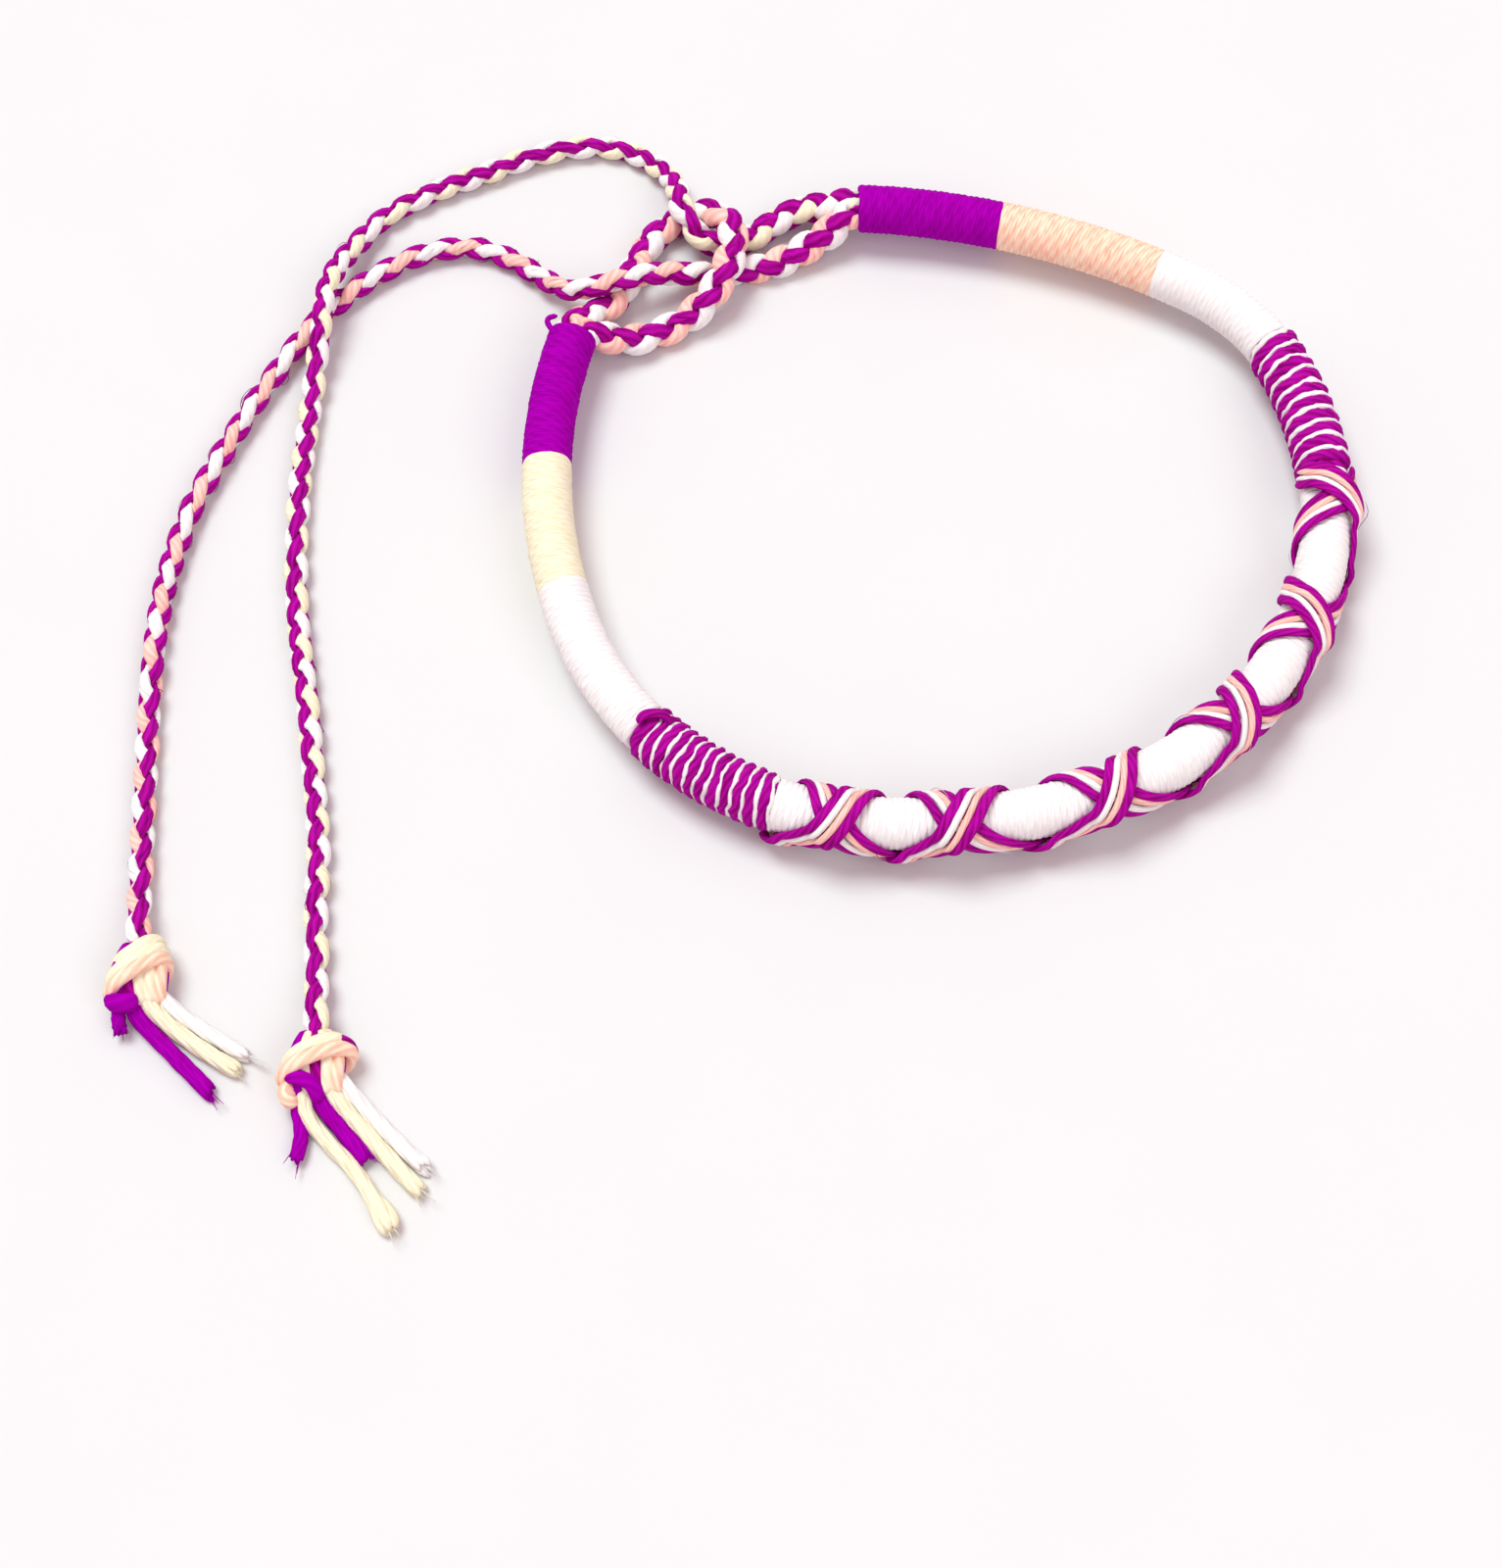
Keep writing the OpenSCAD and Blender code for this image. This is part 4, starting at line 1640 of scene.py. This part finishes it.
@dataclass
class Studio:
    """Pale floor, soft lights and the camera at the photograph's angle.

    Attributes:
        camera_at: Camera's place in millimetres.
        elevation: Angle of its axis below the horizon, in degrees.
        lens: Focal length over the sensor's width, in millimetres.
        clip: Nearest and farthest distance that it sees, in metres.
        floor_size: Breadth of the floor, in metres.
        floor_tints: The two tints that the floor drifts between.
        grain: Scale of that drift.
        surround: Colour of the light from all round.
        paper: Colour of the background that the camera sees.
    """

    camera_at: Row = (-17.1, -143.1, 222.6)
    elevation: float = 62.4
    lens: float = 66.11
    sensor: float = 36.0
    clip: tuple[float, float] = (0.01, 20.0)
    floor_size: float = 12.0
    floor_tints: tuple[Colour, Colour] = ((0.70, 0.68, 0.69), (0.715, 0.695, 0.705))
    grain: float = 60.0
    surround: Colour = (1.0, 0.80, 0.85)
    surround_strength: float = 0.68
    paper: Colour = (0.982, 0.943, 0.953)
    suns: tuple[Sun, ...] = (
        Sun("key", (-0.25, 0.2, 0.75), 30, 2.4, (0.84, 1.0, 0.95)),
        Sun("fill", (0.45, -0.45, 0.6), 34, 0.66, (0.94, 1.0, 0.98)),
    )

    def build(self) -> None:
        """Builds the floor, the surround, the lights and the camera."""
        self._floor()
        self._surround()
        for sun in self.suns:
            self._sun(sun)
        self._camera()
        view = bpy.context.scene.view_settings
        view.view_transform = "Standard"
        view.exposure = 0.0

    def _floor(self) -> None:
        """Lays the floor, a little below the lowest thread."""
        deselect_all()
        bpy.ops.mesh.primitive_plane_add(size=self.floor_size)
        floor = bpy.context.active_object
        floor.name = "floor"
        material = bpy.data.materials.new("floor_paper")
        material.use_nodes = True
        tree = material.node_tree
        place = add_node(tree, "TexCoord", {})
        grain = add_node(tree, "TexNoise", {
            "Vector": place.outputs["Object"], "Scale": self.grain,
        })
        tint = add_mix(tree, grain.outputs[0], *((*tint, 1) for tint in self.floor_tints))
        set_inputs(tree, tree.nodes["Principled BSDF"], {
            "Base Color": tint, "Roughness": 0.9, "Specular IOR Level": 0.1,
        })
        floor.data.materials.append(material)

    def _surround(self) -> None:
        """Sets a warm pink light from all round, which the camera sees as plain white paper."""
        world = bpy.data.worlds.new("surround")
        bpy.context.scene.world = world
        world.use_nodes = True
        tree = world.node_tree
        light = tree.nodes["Background"]
        set_inputs(tree, light, {
            "Color": (*self.surround, 1), "Strength": self.surround_strength,
        })
        paper = add_node(tree, "Background", {"Color": (*self.paper, 1)})
        seen = add_node(tree, "LightPath", {}).outputs["Is Camera Ray"]
        either = add_node(tree, "MixShader", {
            0: seen, 1: light.outputs[0], 2: paper.outputs[0],
        })
        set_inputs(tree, tree.nodes["World Output"], {"Surface": either.outputs[0]})

    @staticmethod
    def _sun(sun: Sun) -> None:
        """Sets a sun.

        Args:
            sun: The sun.
        """
        data = bpy.data.lights.new(sun.name, "SUN")
        data.angle = math.radians(sun.spread)
        data.energy = sun.strength
        data.color = sun.colour
        light = add_object(sun.name, data)
        light.location = sun.at
        light.rotation_mode = "QUATERNION"
        light.rotation_quaternion = (-light.location).to_track_quat("-Z", "Y")

    def _camera(self) -> None:
        """Sets the camera."""
        data = bpy.data.cameras.new("camera")
        data.sensor_fit = "AUTO"
        data.sensor_width = self.sensor
        data.lens = self.lens
        data.clip_start, data.clip_end = self.clip
        camera = add_object("camera", data)
        camera.location = [v * MM for v in self.camera_at]
        camera.rotation_euler = (math.radians(90 - self.elevation), 0.0, 0.0)
        bpy.context.scene.camera = camera


# The bracelet's own pieces


TIE_A = Tie(
    "a", 1,
    (
        (-9.5, 34.6, 2.6), (-12, 34.9, 1.9), (-14.6, 33.9, 1.3), (-17, 32.1), (-19.5, 30.9, 1.35),
        (-22, 31.2, 2.4), (-23.7, 33.4, 3.9), (-24.3, 36.6, 2.9), (-25.4, 39.5, 1.6), (-28, 42),
        (-31.8, 43.2), (-37, 42.5), (-42.6, 40.1), (-48.3, 37.4), (-52.6, 34.4),
        (-55.1, 30.4, 1.8), (-56.5, 26.8, 3), (-57.2, 23.4, 3.6), (-57.5, 19.6, 2.8),
        (-57.9, 15.4, 1.6), (-58.2, 10.5), (-58.5, 4), (-58.3, -3.5), (-57.6, -11),
        (-56.3, -18.5), (-55.2, -26), (-54.3, -32.5), (-54, -39.5), (-53.5, -45.5, 1.4),
        (-53.2, -49, 2.3), (-53, -51.5, 2.3),
    ),
    Knot(
        (Tone.PURPLE, Tone.CREAM, Tone.VIOLET, Tone.CREAM, Tone.PEACH),
        (
            Wrap((
                (3.3, -2.1, -1.4), (3.3, -2.9, -0.5), (2.9, -2.3, 0.7), (2.4, -0.9, 1.5),
                (1.8, 0.8, 1.5), (1.5, 2.2, 0.9), (1.6, 2.9, -0.2), (2.2, 2.2, -1.3),
                (3.0, 0.4, -1.7),
            ), Tone.PEACH, 0.7),
            Wrap((
                (2.3, -1.9, -1.5), (2.2, -2.5, -0.5), (1.8, -1.9, 0.6), (1.3, -0.6, 1.3),
                (0.8, 0.8, 1.2), (0.5, 1.8, 0.5), (0.7, 2.1, -0.7), (1.5, 1.2, -1.6),
                (2.2, -0.4, -1.7),
            ), Tone.CREAM, 0.68),
            Wrap((
                (0.6, 1.1, 0.7), (0.5, 2.0, 0.5), (0.8, 2.8, -0.1), (1.5, 3.1, -1.1),
            ), Tone.VIOLET, 0.5),
            Wrap((
                (2.6, -2.3, -0.3), (3.4, -2.0, 0.5), (3.9, -1.1, 0.9), (4.4, -0.3, 0.6),
                (5.4, 0.2, -0.7),
            ), Tone.PURPLE, 0.7),
            Wrap((
                (3.9, -2.2, -0.6), (4.5, -2.5, -0.2), (5.2, -2.3, -0.3), (5.5, -1.8, -0.8),
            ), Tone.PEACH, 0.85),
        ),
    ),
    Tassel(
        (
            Lock(((3.6, -1.6), (5.6, -1.7), (7.8, -1.5), (10.2, -2.0)), Tone.PURPLE, 1.3),
            Lock(((3.6, -0.5), (5.4, 0.2), (7.8, 1.9), (10.6, 3.9)), Tone.PURPLE, 1.5),
            Lock((
                (4.2, -1.2), (6.4, -0.9), (8.8, 0.8), (11.0, 2.6), (14.0, 4.4), (17.0, 5.9),
            ), Tone.CREAM, 1.4, 0.5),
            Lock(((3.4, 0.5), (5.4, 1.7), (8.4, 4.0), (11.2, 6.2), (13.8, 8.3)), Tone.CREAM, 1.5),
            Lock(((3.0, 1.4), (4.8, 2.8), (7.6, 5.1), (10.2, 7.3), (11.8, 9.0)), Tone.WHITE, 1.4),
        ),
        seed=71,
    ),
    lean=60, pale=(Tone.CREAM, Tone.WHITE), seed=21,
)

TIE_B = Tie(
    "b", -1,
    (
        (-9.4, 31.7, 2.6), (-11.8, 30.3, 1.8), (-14.4, 29, 1.25), (-17.2, 28.2), (-20, 27.6, 1.3),
        (-23, 27, 2.1), (-26, 26.2, 3.2), (-29, 25.1, 3.9), (-32, 24.2, 3.7), (-34.6, 24.8, 2.5),
        (-36.9, 26.9, 1.5), (-39.7, 29.2), (-43.2, 30.7), (-47.2, 30.5), (-51.2, 28.7),
        (-55, 25.7), (-58.6, 21.5), (-62, 15.5), (-65.3, 8.5), (-68.2, 1), (-69.8, -7),
        (-70.2, -15), (-69.9, -23), (-69.5, -31), (-69.1, -37.5, 1.4), (-68.7, -41, 2.3),
        (-68.4, -43.5, 2.3),
    ),
    Knot(
        (Tone.PURPLE, Tone.VIOLET, Tone.CREAM, Tone.CREAM, Tone.PEACH),
        (
            Wrap((
                (3.9, -2.0, -1.3), (3.9, -2.6, -0.4), (3.3, -2.0, 0.8), (2.6, -0.6, 1.4),
                (1.9, 0.8, 1.4), (1.4, 1.9, 0.7), (1.6, 2.2, -0.6), (2.6, 1.4, -1.5),
                (3.5, -0.4, -1.7),
            ), Tone.PEACH, 0.68),
            Wrap((
                (2.9, -1.9, -1.3), (2.8, -2.4, -0.3), (2.3, -1.8, 0.7), (1.6, -0.5, 1.3),
                (0.9, 0.8, 1.2), (0.4, 1.7, 0.5), (0.6, 2.0, -0.6), (1.6, 1.2, -1.5),
                (2.5, -0.4, -1.7),
            ), Tone.CREAM, 0.68),
            Wrap((
                (1.9, -1.6, -1.3), (1.6, -2.0, -0.3), (1.1, -1.4, 0.7), (0.5, -0.2, 1.1),
                (-0.2, 0.9, 0.9), (-0.5, 1.6, 0.1), (0.0, 1.6, -0.9), (1.0, 0.4, -1.5),
            ), Tone.CREAM, 0.62),
            Wrap((
                (3.6, -2.3, -1.2), (4.4, -2.4, -0.2), (4.9, -1.8, 0.4), (4.9, -1.0, 0.3),
                (4.6, -0.4, -0.4),
            ), Tone.PURPLE, 0.85),
        ),
    ),
    Tassel(
        (
            Lock(((4.0, -1.7), (5.6, -2.0), (7.0, -1.9)), Tone.PURPLE, 1.3),
            Lock((
                (3.8, -1.0), (5.8, -0.4), (8.2, 1.5), (11.0, 3.7), (13.4, 5.7),
            ), Tone.PURPLE, 1.5),
            Lock(((3.6, 0.0), (5.4, 1.0), (7.6, 3.1), (9.8, 5.6), (11.6, 8.0)), Tone.CREAM, 1.5),
            Lock(((3.2, 0.9), (4.8, 2.1), (6.8, 4.3), (8.8, 6.7), (10.4, 8.9)), Tone.WHITE, 1.35),
        ),
        seed=83,
    ),
    lean=-30, pale=(Tone.ROSE, Tone.WHITE), seed=33,
)

EYE_END = LooseThread(
    ((1.4, 2.0, 62), (0.8, 2.45, 46), (0.0, 2.8, 32), (-0.6, 2.8, 28), (-0.9, 2.3, 42)), 0.3
)
WHIP_TUCK = LooseThread(
    ((2.2, 2.2, 116), (1.6, 2.9, 110), (0.9, 3.25, 98), (0.3, 3.1, 84), (0.1, 2.3, 70)), 0.42
)

PARTS = (
    TIE_A,
    TIE_B,
    EyeLoop(),
    CoreBundle(),
    ColourBlock("purple_left", Tone.PURPLE, EYE_END),
    ColourBlock("cream_left", Tone.CREAM),
    ColourBlock("white_left", Tone.WHITE),
    ColourBlock("white_front", Tone.WHITE),
    ColourBlock("white_right", Tone.WHITE),
    ColourBlock("peach_right", Tone.PEACH),
    ColourBlock("purple_right", Tone.PURPLE),
    Whipping("whipping_left", 13, WHIP_TUCK),
    Whipping("whipping_right", 11),
    CrossedBand("cross_under", Way.FALLING, lifted=False, seed=11),
    CrossedBand("cross_over", Way.RISING, lifted=True, seed=7),
)


def main() -> None:
    """Builds the studio and the pieces in order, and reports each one."""
    logging.basicConfig(level=logging.INFO, format="%(name)s: %(message)s")
    Studio().build()
    bench = Bench()
    for part in PARTS:
        for piece in part.build(bench):
            LOG.info("%s: %d faces", piece.name, len(piece.data.polygons))
    bpy.data.objects.remove(bench.guide)


if __name__ == "__main__":
    main()
